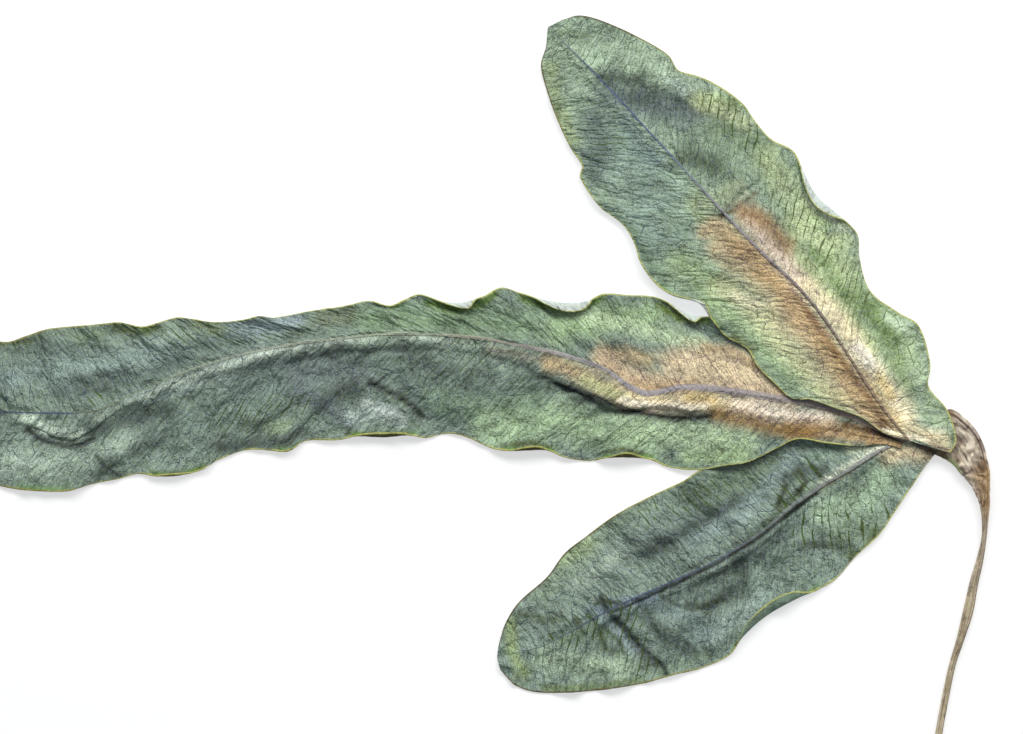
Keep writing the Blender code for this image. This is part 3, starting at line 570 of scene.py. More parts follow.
# %% Upper lobe's paint
UPPER_PAINT = [
    ("#a9bfa6", 0.8, 22, [(570, 45), (620, 60), (660, 75)]),
    ("#7a8c68", 0.5, 5, [(562, 34), (588, 38)]),
    ("#9fb07f", 0.6, 8, [(550, 70), (558, 110), (572, 140)]),
    ("#93ab9f", 0.7, 30, [(620, 150), (650, 190), (640, 225)]),
    ("#6d7b7c", 0.8, 15, [(612, 92), (640, 104), (690, 112)]),
    ("#64736f", 0.8, 15, [(595, 120), (600, 150), (592, 165)]),
    ("#56625e", 0.7, 8, [(625, 98), (655, 94), (680, 100), (700, 108), (722, 112)]),
    ("#4f5b4a", 0.7, 6, [(600, 76), (622, 78), (640, 82)]),
    ("#7b8f90", 0.6, 9, [(625, 122), (640, 145), (655, 160)]),
    # painted highlight on a swell near the tip
    ("#c6dccb", 0.8, 6, [(668, 80), (690, 90), (712, 91)]),
    ("#a9c184", 0.7, 8, [(702, 98), (735, 104)]),
    ("#7c9070", 0.8, 17, [(722, 128), (758, 145), (775, 175)]),
    ("#6f8069", 0.7, 12, [(690, 150), (718, 165), (735, 180)]),
    ("#5c6b54", 0.8, 7, [(674, 161), (692, 159), (712, 167)]),
    ("#6c8070", 0.6, 9, [(635, 185), (665, 187)]),
    ("#83998a", 0.7, 14, [(640, 228), (662, 252), (682, 232)]),
    ("#6f876d", 0.6, 5, [(600, 203), (630, 229), (642, 252), (665, 282)]),
    ("#a9be98", 0.8, 9, [(697, 196), (702, 215)]),
    ("#a9c196", 0.9, 15, [(682, 262), (705, 280), (716, 300), (745, 332), (792, 375)]),
    ("#89a184", 0.7, 7, [(720, 325), (745, 337), (757, 357), (790, 388)]),
    ("#9fb391", 0.7, 8, [(800, 386), (840, 400)]),
    ("#cdd3a6", 0.85, 11, [(722, 285), (745, 300), (782, 345), (820, 388), (848, 404)]),
    ("#ccbf98", 0.8, 15, [(724, 238), (743, 263), (775, 300), (812, 348), (848, 392)]),
    # painted highlight
    ("#e8e6c4", 0.8, 6, [(736, 297), (756, 303)]),
    ("#c6b08c", 0.8, 9, [(704, 232), (716, 224), (726, 234)]),
    ("#c2a684", 0.5, 12, [(718, 248), (740, 256)]),
    ("#b9c78f", 0.8, 12, [(800, 262), (822, 290), (846, 322), (868, 345)]),
    ("#ab8b68", 0.75, 11, [(748, 248), (767, 270), (785, 294), (802, 320)]),
    ("#cfb890", 0.9, 10, [(804, 318), (826, 350), (847, 380), (866, 404), (884, 426)]),
    ("#cdb387", 0.8, 9, [(735, 243), (755, 261), (792, 297), (818, 329), (850, 378), (878, 419)]),
    ("#94714e", 0.75, 4, [(792, 288), (820, 330), (850, 372), (880, 412), (896, 432)]),
    ("#6d6f2c", 0.75, 6, [(734, 341), (750, 351)]),
    ("#6f5038", 0.8, 4, [(880, 424), (892, 436), (905, 441)]),
    ("#c3d6a2", 0.85, 17, [(800, 225), (830, 258), (846, 285)]),
    ("#8fae72", 0.7, 6, [(812, 253), (826, 264)]),
    ("#7d9a60", 0.7, 6, [(834, 280), (846, 296)]),
    ("#8aa866", 0.7, 5, [(806, 205), (822, 219), (843, 225)]),
    ("#cfe0ae", 0.6, 6, [(802, 232), (820, 240), (846, 240)]),
    # painted highlight where the right margin curls
    ("#e8f2dc", 0.95, 6, [(812, 202), (828, 214), (846, 224)]),
    ("#c6d8aa", 0.7, 12, [(768, 160), (790, 190), (812, 228)]),
    ("#cfdcae", 0.6, 9, [(700, 100), (728, 112), (745, 122)]),
    ("#93ac74", 0.85, 15, [(860, 300), (884, 322), (902, 350)]),
    ("#7c9760", 0.7, 7, [(866, 308), (885, 332)]),
    # painted highlight
    ("#c3d8bc", 0.8, 6, [(888, 319), (906, 328)]),
    ("#b5cba6", 0.8, 9, [(908, 345), (919, 375)]),
    ("#a5ba86", 0.7, 8, [(895, 362), (906, 386)]),
    ("#a9be9c", 0.9, 13, [(924, 392), (940, 418)]),
    ("#dfe6d2", 0.9, 7, [(914, 432), (938, 438)]),
    ("#dacab8", 0.95, 9, [(744, 216), (770, 246), (790, 268), (806, 288)]),
    ("#9c7f5a", 0.85, 9, [(742, 211), (758, 216), (773, 229), (784, 244)]),
    # the crease across the blade: pale green on its lit side, a painted highlight on its edge and painted
    # shade below it
    ("#a8b896", 0.85, 8, [(696, 205), (711, 202), (724, 196), (738, 187)]),
    ("#d9d8bc", 0.5, 2.5, [(722, 210), (734, 202), (746, 193)]),
    ("#5a4128", 0.85, 2.4, [(721, 217), (730, 212)]),
    ("#7d6245", 0.6, 2.4, [(732, 211), (744, 202), (756, 193)]),
    ("#efe4c0", 0.95, 11, [(806, 286), (826, 306), (842, 328), (862, 356), (884, 388), (905, 420)]),
    ("#cdb98c", 0.8, 5, [(862, 374), (880, 400), (897, 422)]),
    ("#e6d08c", 0.7, 5, [(880, 380), (890, 396)]),
    # painted highlight on the swell beside the midrib
    ("#f3efe0", 0.95, 6, [(858, 348), (870, 364)]),
    ("#d3c79e", 0.8, 6, [(900, 428), (925, 434), (945, 442)]),
    ("#f0e9cc", 0.95, 2.4, [(884, 430), (903, 435), (925, 440), (943, 448), (951, 453)]),
    ("#7d6238", 0.6, 3, [(930, 443), (950, 451)]),
]
UPPER_SHAPE = dict(
    wrinkle=(0.55, 0.28), lumps=1.2, calm=65,
    creases=[(0.6, 0.35, 4.5, [(708, 224), (722, 213), (735, 198), (745, 188), (768, 174)])],
    swells=[
        (0.8, 9, [(868, 352), (882, 376)]), (-0.7, 14, [(620, 88), (700, 108), (740, 118)]),
        (0.5, 10, [(640, 62), (690, 86)]), (0.6, 9, [(786, 168), (800, 205)]),
        (0.6, 8, [(875, 320), (905, 335)]),
        (-0.5, 8, [(845, 300), (862, 322)]), (0.4, 12, [(600, 190), (640, 200)]),
    ])
print(len(UPPER_PAINT), "strokes on the upper lobe")

# %% [markdown]
# The long lobe is the darkest. Its midrib is a pale ridge over most of its length, then
# drops into a pocket near the left end, and tan tissue folds over beside the hub.

# %% Long lobe's paint
LONG_PAINT = [
    ("#93a8a2", 0.8, 13, [(5, 380), (60, 368), (110, 362), (165, 350), (200, 342)]),
    # painted highlight
    ("#a9c0b8", 0.7, 5, [(92, 366), (116, 366)]),
    ("#6f8078", 0.7, 8, [(35, 346), (75, 350)]),
    ("#66756f", 0.75, 8, [(55, 392), (95, 388), (140, 376), (185, 359)]),
    ("#8ea57f", 0.5, 6, [(75, 338), (100, 332)]),
    ("#556329", 0.8, 5, [(115, 328), (140, 332), (160, 328)]),
    ("#6b7a50", 0.7, 4, [(0, 344), (25, 342), (40, 336)]),
    ("#9fb3a0", 0.6, 8, [(165, 330), (190, 335)]),
    ("#8f9f74", 0.6, 6, [(196, 325), (216, 330)]),
    ("#6c7c74", 0.7, 7, [(195, 346), (225, 345), (240, 339)]),
    ("#a0b2bd", 0.7, 8, [(238, 328), (262, 328), (295, 320)]),
    ("#8c9678", 0.7, 9, [(322, 320), (352, 314)]),
    # painted highlight on the midrib ridge's crest, and painted shade on the slope below it
    ("#9dafae", 0.7, 9, [(130, 402), (165, 390), (210, 372), (245, 360), (280, 356)]),
    ("#5c6a62", 0.85, 9, [(92, 430), (130, 421), (168, 410)]),
    ("#7a8c80", 0.7, 12, [(170, 430), (192, 415), (216, 404)]),
    ("#b2c7b6", 0.85, 14, [(10, 462), (50, 462), (90, 456), (125, 448)]),
    # the pocket: a painted highlight on its flap and a painted shadow under it
    ("#c9dccb", 0.95, 7, [(28, 421), (48, 430), (76, 433)]),
    ("#161e14", 0.95, 2.8, [(28, 429), (38, 437), (52, 443), (68, 446), (82, 444), (94, 438)]),
    ("#6a7b70", 0.7, 6, [(104, 468), (122, 478)]),
    ("#6f8076", 0.7, 7, [(135, 452), (150, 440)]),
    ("#a5baae", 0.7, 8, [(158, 460), (175, 465), (195, 452)]),
    ("#4a5426", 0.8, 3.5, [(155, 476), (180, 476), (202, 469)]),
    ("#8ba093", 0.7, 14, [(190, 430), (230, 418), (245, 405)]),
    ("#7e908a", 0.7, 18, [(240, 388), (285, 380), (330, 372)]),
    ("#566350", 0.7, 6, [(244, 424), (260, 429)]),
    ("#a3b894", 0.7, 6, [(270, 429), (286, 425)]),
    ("#4d5852", 0.8, 6, [(222, 447), (250, 445), (282, 443), (300, 432)]),
    ("#4e5b50", 0.8, 8, [(318, 402), (336, 395), (356, 390)]),
    ("#7a8588", 0.6, 15, [(300, 372), (340, 366), (370, 372)]),
    ("#66756c", 0.6, 8, [(330, 358), (370, 360), (410, 358)]),
    ("#6f7a82", 0.6, 9, [(300, 392), (335, 412), (352, 425)]),
    ("#77828c", 0.55, 8, [(405, 385), (430, 415), (450, 425)]),
    ("#71857a", 0.6, 7, [(372, 362), (398, 378), (418, 398)]),
    ("#6a7870", 0.6, 8, [(482, 372), (500, 390), (505, 410)]),
    ("#a5bba4", 0.6, 7, [(520, 385), (545, 400), (560, 402)]),
    # painted highlight along the midrib ridge's crest, and painted shade under the ridge
    ("#a3b5a5", 0.85, 5, [(96, 418), (140, 399), (200, 375), (260, 357), (300, 348), (340, 343),
                          (400, 339), (480, 343)]),
    ("#c0cfc2", 0.8, 2.5, [(150, 396), (200, 373), (260, 355), (330, 343), (400, 337), (470, 341)]),
    ("#4b5850", 0.7, 3, [(300, 358), (345, 351), (378, 349), (405, 350)]),
    ("#b6c6c0", 0.9, 8, [(352, 418), (378, 412), (400, 418)]),
    ("#55622c", 0.85, 3, [(348, 433), (380, 437), (408, 434)]),
    ("#64736b", 0.75, 9, [(422, 366), (452, 374), (470, 388)]),
    ("#778f78", 0.8, 18, [(440, 405), (485, 412), (530, 402)]),
    ("#92ad8a", 0.8, 16, [(370, 320), (430, 320), (530, 325)]),
    ("#6d7f70", 0.6, 8, [(515, 374), (548, 384)]),
    ("#6b8a3c", 0.9, 4, [(428, 302), (455, 310), (480, 304), (495, 293)]),
    ("#6b8a3c", 0.9, 4, [(522, 297), (555, 310), (585, 308), (602, 297)]),
    ("#aecb9c", 0.85, 15, [(560, 328), (600, 320), (650, 316)]),
    ("#cbe2ba", 0.8, 8, [(590, 318), (625, 325), (660, 336), (700, 342)]),
    ("#7f9a3f", 0.85, 4, [(660, 306), (680, 318), (706, 321)]),
    ("#a29c88", 0.55, 5, [(490, 349), (518, 354), (548, 362)]),
    ("#c8b68e", 0.95, 8, [(550, 362), (580, 374), (604, 388), (624, 398)]),
    ("#bda984", 0.75, 8, [(603, 356), (622, 353), (648, 360)]),
    ("#d0bc9e", 0.95, 13, [(606, 362), (630, 378), (660, 384), (700, 380), (740, 386), (790, 396)]),
    ("#bba27e", 0.8, 7, [(636, 386), (655, 389), (690, 385)]),
    ("#e3d0ae", 0.95, 14, [(672, 362), (700, 358), (730, 362), (755, 376)]),
    ("#e6d6b2", 0.6, 8, [(680, 372), (720, 370)]),
    ("#b59c78", 0.65, 5, [(704, 348), (730, 350), (756, 366)]),
    ("#adc9a2", 0.9, 17, [(490, 428), (560, 420), (600, 430), (640, 438)]),
    ("#c2dcb2", 0.8, 12, [(630, 430), (690, 434), (745, 444)]),
    ("#b3cf9a", 0.7, 9, [(690, 456), (742, 456)]),
    ("#7d9679", 0.6, 5, [(655, 462), (700, 467)]),
    ("#525d2c", 0.85, 3.5, [(505, 447), (530, 443), (550, 448)]),
    ("#525d2c", 0.85, 3.5, [(604, 453), (625, 449), (646, 456)]),
    # painted shade along the small flap's crease
    ("#26322a", 0.9, 2.0, [(97, 456), (106, 467), (123, 479)]),
    # painted highlight on the flap's lit side and painted shadow in the diagonal crease
    ("#c6d4cf", 0.8, 5, [(366, 402), (384, 410), (402, 422)]),
    ("#0e140e", 1.0, 3.0, [(370, 382), (392, 393), (412, 406), (423, 416)]),
    ("#e6d6ae", 0.95, 8, [(622, 398), (655, 404), (700, 403), (745, 406)]),
    ("#c9d09c", 0.8, 6, [(585, 380), (606, 390), (626, 399)]),
    # painted highlight on the tan fold's crest
    ("#f6eed8", 0.95, 4, [(622, 400), (650, 406), (690, 407), (706, 405)]),
    ("#dcbf7e", 0.6, 6, [(690, 398), (712, 400)]),
    ("#fff2de", 0.95, 9, [(740, 408), (780, 415), (825, 420)]),
    ("#c2a377", 0.9, 9, [(790, 428), (830, 430), (872, 437)]),
    # brown tissue, with painted shade under the fold
    ("#9c7a40", 0.8, 8, [(716, 414), (745, 420), (780, 429), (810, 434)]),
    # painted shadow of the upper lobe's margin
    ("#7a5634", 0.75, 4, [(792, 399), (830, 409), (858, 418), (880, 428)]),
    ("#5e3d22", 0.8, 3.5, [(845, 424), (868, 430), (886, 437)]),
    ("#b99c70", 0.95, 6, [(872, 441), (886, 444), (905, 447)]),
    # painted shadow under the upper lobe's base
    ("#2a170b", 0.95, 3.5, [(876, 430), (888, 435), (903, 440), (920, 446)]),
    # painted shadow under the tan fold's overhang
    ("#0c0805", 1.0, 3.0, [(556, 382), (575, 390), (593, 396), (610, 403), (627, 409), (647, 414),
                           (667, 417), (693, 418),
                           (711, 415)]),
]
LONG_SHAPE = dict(
    wrinkle=(0.5, 0.2), lumps=1.8, calm=85,
    creases=[
        (-1.8, 0.3, 4.5, [(368, 379), (392, 393), (424, 416)]), (-1.0, 0.3, 3.0, [(97, 456), (105, 466),
        (123, 479)]),
        (0.4, 0.3, 3.0, [(10, 414), (14, 402), (22, 388)]),
    ],
    swells=[
        (0.6, 8, [(60, 380), (150, 355)]), (-0.5, 7, [(95, 388), (140, 376), (190, 362)]),
        (-0.5, 6, [(45, 345), (80, 345)]),
        (0.7, 10, [(110, 455), (128, 440)]), (-0.6, 9, [(130, 425), (160, 415)]),
        (-0.6, 7, [(322, 352), (345, 350)]),
        (-0.5, 6, [(390, 348), (408, 346)]), (0.6, 8, [(365, 410), (395, 420)]),
        (-0.6, 7, [(420, 405), (440, 385)]),
        (0.5, 9, [(590, 335), (640, 345)]), (0.4, 12, [(440, 400), (470, 420)]),
    ])
print(len(LONG_PAINT), "strokes on the long lobe")

# %% [markdown]
# The lower lobe lies flattest and is dark and slaty, with moss-green dashes along its veins,
# a pale ridge of midrib near the hub and a kinked crease towards its tip.

# %% Lower lobe's paint
LOWER_PAINT = [
    ("#9fb49c", 0.8, 15, [(542, 585), (570, 558), (602, 530)]),
    ("#b0c596", 0.7, 8, [(558, 560), (588, 545)]),
    ("#8b9f86", 0.7, 14, [(620, 516), (655, 506)]),
    ("#84958c", 0.75, 18, [(615, 560), (660, 525), (700, 502)]),
    ("#72866e", 0.8, 18, [(690, 492), (740, 480), (775, 462)]),
    ("#54615c", 0.8, 8, [(650, 552), (700, 522), (740, 500)]),
    ("#97aba9", 0.75, 8, [(695, 540), (740, 516), (765, 490), (792, 458)]),
    ("#4e5b52", 0.75, 7, [(786, 478), (802, 472), (822, 470)]),
    ("#8fa894", 0.7, 8, [(812, 452), (842, 450)]),
    ("#d9e3c4", 0.85, 5, [(850, 449), (872, 446), (892, 440)]),
    ("#acc6a8", 0.85, 18, [(825, 512), (860, 500), (885, 478)]),
    # painted shade under the midrib
    ("#5b6a50", 0.8, 5, [(800, 492), (780, 511), (760, 533), (735, 550)]),
    ("#6b6b48", 0.6, 4, [(812, 492), (830, 483), (852, 470)]),
    ("#cdbf9e", 0.9, 10, [(890, 456), (905, 452), (928, 456)]),
    ("#d8cfae", 0.9, 5, [(880, 446), (900, 446)]),
    # painted shadow under the upper lobe's base
    ("#3c2a18", 0.9, 4, [(915, 442), (932, 451), (950, 458)]),
    ("#8a9f80", 0.7, 11, [(838, 540), (872, 528)]),
    ("#5f7038", 0.75, 5, [(876, 530), (866, 550), (850, 556)]),
    ("#92a796", 0.75, 11, [(770, 562), (800, 562), (832, 568)]),
    # painted shade in a crease
    ("#546253", 0.75, 4, [(800, 544), (830, 545), (852, 548)]),
    ("#5c6b60", 0.85, 9, [(736, 560), (746, 576), (736, 592), (712, 602)]),
    # painted highlight on the lit side of the midrib ridge
    ("#dfe8d4", 0.85, 3, [(822, 481), (850, 464), (870, 452), (892, 443)]),
    ("#2f3b28", 0.7, 3, [(686, 642), (694, 650), (699, 658)]),
    ("#3c4620", 0.9, 2.8, [(798, 470), (806, 482), (796, 494)]),
    ("#3c4620", 0.9, 2.8, [(786, 486), (778, 504)]),
    ("#3c4620", 0.85, 2.6, [(812, 466), (820, 476)]),
    ("#4a5a2e", 0.7, 2.2, [(640, 668), (655, 664)]),
    ("#aebfae", 0.7, 7, [(575, 585), (600, 570), (618, 555)]),
    ("#9fb3a2", 0.75, 8, [(698, 580), (722, 570)]),
    ("#8ea3a0", 0.75, 11, [(655, 602), (688, 615), (702, 632)]),
    ("#a3b8b0", 0.75, 9, [(716, 632), (745, 614), (770, 590)]),
    ("#465348", 0.85, 4, [(688, 604), (705, 607), (724, 599)]),
    ("#55635a", 0.85, 7, [(648, 618), (668, 640), (692, 656)]),
    ("#4d5a50", 0.85, 5, [(626, 634), (645, 655), (664, 672)]),
    ("#7d90a0", 0.7, 7, [(592, 612), (625, 602), (652, 598)]),
    ("#98abb0", 0.75, 6, [(604, 622), (622, 633), (632, 650)]),
    ("#7b9078", 0.7, 8, [(560, 640), (600, 632)]),
    ("#a9c0a5", 0.85, 12, [(545, 658), (585, 668), (625, 668)]),
    ("#c3dabd", 0.7, 5, [(588, 665), (620, 664)]),
    ("#64745c", 0.6, 4, [(600, 645), (616, 654)]),
    ("#a3b884", 0.8, 7, [(510, 622), (512, 650), (522, 672)]),
    ("#6f7f62", 0.75, 4, [(520, 614), (545, 620), (562, 618)]),
    ("#73864f", 0.7, 4, [(545, 689), (600, 687), (640, 680)]),
    ("#8ea48e", 0.8, 9, [(655, 672), (702, 660)]),
    # painted shade below the midrib ridge: broad, with a dark line right beside the rib
    ("#55635e", 0.6, 6, [(622, 620), (665, 603), (715, 578), (765, 549), (800, 520)]),
    ("#1c2426", 0.9, 1.7, [(613, 612), (662, 590), (717, 564), (762, 536), (792, 511), (817, 493)]),
    # painted shade along two creases
    ("#2b3a2c", 0.85, 2.4, [(600, 596), (612, 616), (630, 636), (650, 654), (662, 664), (669, 677)]),
    ("#39452f", 0.7, 2.5, [(660, 594), (676, 605), (694, 610), (722, 599)]),
    ("#3e4a2c", 0.8, 2.2, [(596, 604), (606, 600), (618, 604)]),
    ("#4a5a2e", 0.8, 2.4, [(588, 612), (600, 632), (606, 648)]),
    ("#4a5a2e", 0.7, 2.2, [(574, 618), (584, 634)]),
    ("#4a5a2e", 0.75, 2.2, [(604, 628), (618, 640), (624, 652)]),
]
LOWER_SHAPE = dict(
    wrinkle=(0.35, 0.15), lumps=2.0, calm=0,
    creases=[
        (0.6, 0.4, 4.5, [(606, 604), (630, 632), (652, 650), (671, 676)]),
        (-0.5, 0.5, 4.0, [(655, 588), (672, 602), (690, 609), (722, 597)]),
        (0.4, 0.4, 3.5, [(518, 606), (550, 613), (570, 619)]),
    ],
    swells=[
        (0.5, 6, [(690, 548), (752, 500)]), (-0.5, 7, [(640, 560), (700, 530)]),
        (-0.8, 8, [(640, 645), (662, 655)]),
        (-0.7, 7, [(684, 645), (700, 655)]), (0.7, 7, [(712, 625), (735, 610)]),
        (-0.6, 9, [(740, 575), (790, 560)]),
        (0.5, 9, [(660, 625), (690, 625)]), (-0.5, 8, [(800, 465), (840, 450)]),
        (0.5, 9, [(560, 660), (610, 665)]),
    ])
print(len(LOWER_PAINT), "strokes on the lower lobe")

# %% [markdown]
# ## The midribs' own look
# A midrib is a band of its own colour: brown or mauve-grey near the hub, where it is thick,
# and a thin slate-blue line towards the tip. At shares of a lobe's length the tables say half
# its width in millimetres, how much painted shade darkens the furrow beside it, and its colour.

# %% Midrib tables
UPPER_LOOK = [
    (0.0, 0.5, 0.7, "#bca587"), (0.25, 0.45, 0.9, "#a08c84"), (0.4, 0.5, 0.8, "#a39aa4"),
    (0.52, 0.5, 0.7, "#b5b4be"), (0.62, 0.45, 0.3, "#97a5b4"), (0.68, 0.42, 0.2, "#7485a6"),
    (0.87, 0.4, 0.1, "#5c7090"), (1.0, 0.1, 0.0, "#8ea096"),
]
LONG_LOOK = [
    (0.0, 0.8, 0.3, "#a8988a"), (0.07, 1.1, 0.3, "#b5a9a6"), (0.18, 1.25, 0.3, "#c0babf"),
    (0.24, 1.1, 0.3, "#bcb9c4"), (0.3, 0.9, 0.3, "#bebcc2"), (0.36, 0.8, 0.3, "#b9b1aa"),
    (0.4, 0.55, 0.4, "#bdbba8"), (0.45, 0.6, 0.5, "#c3ccb4"), (0.6, 0.6, 0.4, "#bcc8b6"),
    (0.72, 0.45, 0.0, "#97a98f"), (0.76, 0.35, 0.0, "#8fa082"), (0.775, 0.3, 0.2, "#5a6a88"),
    (0.85, 0.3, 0.2, "#4f5f7c"), (1.0, 0.1, 0.0, "#788e84"),
]
LOWER_LOOK = [
    (0.0, 0.4, 0.5, "#c9bfb4"), (0.06, 0.5, 0.8, "#b9b4b8"), (0.14, 0.6, 0.9, "#b8beb8"),
    (0.22, 0.55, 0.9, "#98a0a2"), (0.37, 0.6, 0.8, "#8d9c98"), (0.48, 0.4, 0.7, "#66788e"),
    (0.6, 0.35, 0.6, "#5c6d8c"), (0.75, 0.35, 0.3, "#5a6c84"), (0.83, 0.25, 0.1, "#5d7080"),
    (1.0, 0.1, 0.0, "#8ea48f"),
]


def midrib_look(table, shares, columns):
    """For each row of the grid, from the table's rows: the midrib's colour and half width, and the painted
    shade of its furrow.
    """
    at = [row[0] for row in table]
    values = np.array([(*linear(row[3])[:3], row[1], row[2]) for row in table])
    read = np.stack([np.interp(shares, at, values[:, k]) for k in range(5)], 1)
    read = np.repeat(read[:, None], columns, axis=1)
    return read[..., :4], read[..., 4]


print("the long lobe's midrib is up to", 2 * max(row[1] for row in LONG_LOOK), "mm wide")


# %% [markdown]
# ## Building the lobes
# Each lobe is a piece of its own, because three grids that meet at the hub are simpler than
# one that branches. They overlap there under the upper lobe's base, as the real lobes crowd
# together, and all three stand for the one solid blade.
#
# Beside its lines, tables and strokes, a lobe's recipe says how far the side veins lean
# forward, as a share of the margin; its grid's size; and where the side veins carry moss-green
# dashes. The thin line along the margin is yellow-green and turns brown towards the tip between
# the two shares of brown_edge, and there is none within bare millimetres of the hub. The
# underside's colours, left and right of the midrib, are painted light and shade: its own pale
# blue-green, lightened where it faces the light, and olive or grey shade where it faces away.

# %% Lobes
LOBES = {
    "upper_lobe": dict(
        rib=UPPER_RIB, left=(UPPER_LEFT, UPPER_LEFT_PLEAT), right=(UPPER_RIGHT, UPPER_RIGHT_PLEAT),
        slant=(0.14, 0.14), size=(410, 59), base="#9db39c", lit_and_shaded_backs=("#dbe8e2", "#dbe8e2"),
        paint=UPPER_PAINT, shape=UPPER_SHAPE, look=UPPER_LOOK, brown_edge=(0.55, 0.95), bare=0,
        moss=[(0.8, 16, [(715, 105), (760, 150)]), (0.5, 20, [(780, 190), (860, 290)]),
              (0.6, 12, [(580, 160), (620, 140)])]),
    "long_lobe": dict(
        rib=LONG_RIB, left=(LONG_LOWER, LONG_LOWER_PLEAT), right=(LONG_UPPER, LONG_UPPER_PLEAT),
        slant=(0.062, 0.062), size=(650, 38), base="#889b8c", lit_and_shaded_backs=("#4c4c28", "#dbe8e2"),
        paint=LONG_PAINT, shape=LONG_SHAPE, look=LONG_LOOK, brown_edge=(0.56, 0.98), bare=14,
        moss=[(0.6, 16, [(180, 335), (300, 330)]), (0.6, 20, [(220, 420), (300, 400)]),
              (0.4, 20, [(400, 400), (480, 360)]), (0.6, 8, [(100, 395), (60, 425)])]),
    "lower_lobe": dict(
        rib=LOWER_RIB, left=(LOWER_RIGHT, LOWER_RIGHT_PLEAT), right=(LOWER_UPPER, LOWER_UPPER_PLEAT),
        slant=(0.12, 0.04), size=(380, 60), base="#8ea294", lit_and_shaded_backs=("#7c9482", "#dbe8e2"),
        paint=LOWER_PAINT, shape=LOWER_SHAPE, look=LOWER_LOOK, brown_edge=(0.3, 0.8), bare=9,
        moss=[(1.0, 12, [(785, 505), (800, 480), (812, 470)]),
              (0.9, 20, [(800, 530), (850, 530), (880, 525)]),
              (0.8, 18, [(560, 640), (620, 610), (640, 660)]), (0.5, 20, [(640, 520), (720, 490)])]),
}
TROUGH_GREEN_AND_SHADE = "#6f9a48"  # the leaf's inner side at the foot of a curl: fresher green, with painted shade where the leaning margin shades it
MIDRIB_MM = 0.30  # how far a midrib stands proud of the leaf at the hub


def build_lobe(name, spec, seed):
    """Grid, relief, height over the ground, colours and mesh of one lobe."""
    rows, columns = spec["size"]
    grid, vein, curl = lobe_grid(spec["rib"], spec["left"], spec["right"], spec["slant"], rows, columns)
    height, crest = relief(grid, vein, spec["shape"], seed)
    grid[..., 2] = np.maximum(grid[..., 2] + height, LEAF_MM / 2 + GROUND_MM)
    shares = np.linspace(0, 1, rows)
    colour = paint(grid, vein, spec["base"], spec["paint"], seed + 5)
    # painted green and shade at the foot of a curl, fading out from 0.8 to 3.6 mm in from its margin
    colour = toward(colour, TROUGH_GREEN_AND_SHADE, 0.75 * curl * (1 - eased((vein[..., 2] - 0.8) / 2.8)))
    # the underside's colours are painted light and shade: pale where it faces the light, olive or grey where
    # it faces away
    half = eased(vein[..., 1:2] / 2 + 0.5)
    left_back, right_back = (np.array(linear(code)) for code in spec["lit_and_shaded_backs"])
    back = left_back * (1 - half) + right_back * half
    back[..., 3] = 0.0
    moss = np.max([amount * soft_line(grid, line, radius) for amount, radius, line in spec["moss"]], axis=0)
    rib, furrow = midrib_look(spec["look"], shares, grid.shape[1])
    low, high = spec["brown_edge"]
    brown = eased((shares - low) / (high - low))[:, None] + 0 * moss
    # no point counts as near the margin where the line is left out, which fades in over 8 mm
    vein[..., 2] += 2.0 * (1 - eased((vein[..., 0] - spec["bare"] + 8) / 8))
    below = vein.copy()
    vein[..., 2] -= 0.3 * curl  # a rolled margin shows more of its line
    # trim holds the painted shade of the midrib's furrow, the brown of the margin's line and the wrinkles'
    # crests, from which the shader paints shade into the furrows
    attributes = {
        "vein": vein, "rib": rib, "paint": np.concatenate([colour, moss[..., None]], 2),
        "trim": np.stack([furrow, brown, crest], 2)}
    rib_mm = MIDRIB_MM * (1 - shares) ** 0.7  # down to nothing at the tip
    return leaf_mesh(name, grid, vein[..., 1], rib_mm, attributes, {"paint": back, "vein": below})


lobes = [build_lobe(name, spec, 10 * k) for k, (name, spec) in enumerate(LOBES.items())]

# %% [markdown]
# ## The stipe
# The stalk is a flattened ribbon at its top, twisted and crinkled, and closes to a thin round
# stalk lower down. It is a cross-section carried along a path: an inner and an outer edge are
# read from the photograph, in pixels with a height in millimetres, and a third number says how
# far the section has closed, from 0 for the ribbon to 1 for the round stalk.

# %% Stipe surface
STIPE = [
    ((924, 451, 1.0), (924, 434, 1.4), 0.9), ((936, 455, 0.9), (935, 424, 1.6), 0.4),
    ((945, 459, 1.3), (949, 409, 2.5), 0.0), ((951, 463, 2.0), (967, 420, 3.2), 0.0),
    ((956, 468, 2.2), (980, 436, 4.2), 0.0), ((963, 476, 2.3), (988, 461, 4.4), 0.0),
    ((972, 487, 2.2), (990.5, 484, 4.2), 0.1), ((979, 501, 2.0), (990, 503, 3.6), 0.35),
    ((982, 518, 1.8), (988, 520, 2.8), 0.8), ((981.5, 537, 1.6), (986.5, 538, 2.0), 1.0),
    ((976, 560, 1.4), (983, 562, 1.7), 1.0), ((970, 580, 1.3), (978.5, 582.5, 1.5), 1.0),
    ((963, 610, 1.2), (973, 613, 1.3), 1.0), ((956.5, 638, 1.2), (964, 640.5, 1.3), 1.0),
    ((949, 664, 1.2), (955.5, 666, 1.2), 1.0), ((942.5, 693, 1.2), (949.5, 695, 1.2), 1.0),
    ((936.5, 725, 1.2), (943.5, 727, 1.2), 1.0), ((930, 762, 1.2), (937.5, 764, 1.2), 1.0),
    ((921, 804, 1.2), (929, 806, 1.2), 1.0), ((909, 846, 1.2), (917.5, 849, 1.2), 1.0),
    ((895, 884, 1.2), (903.5, 887.5, 1.2), 1.0),
]
STALK_MM = 1.0  # half the stalk's thickness
FLUTE_MM = 0.10  # how far the ridges along the stalk stand out
FLUTES = 9  # round the stalk


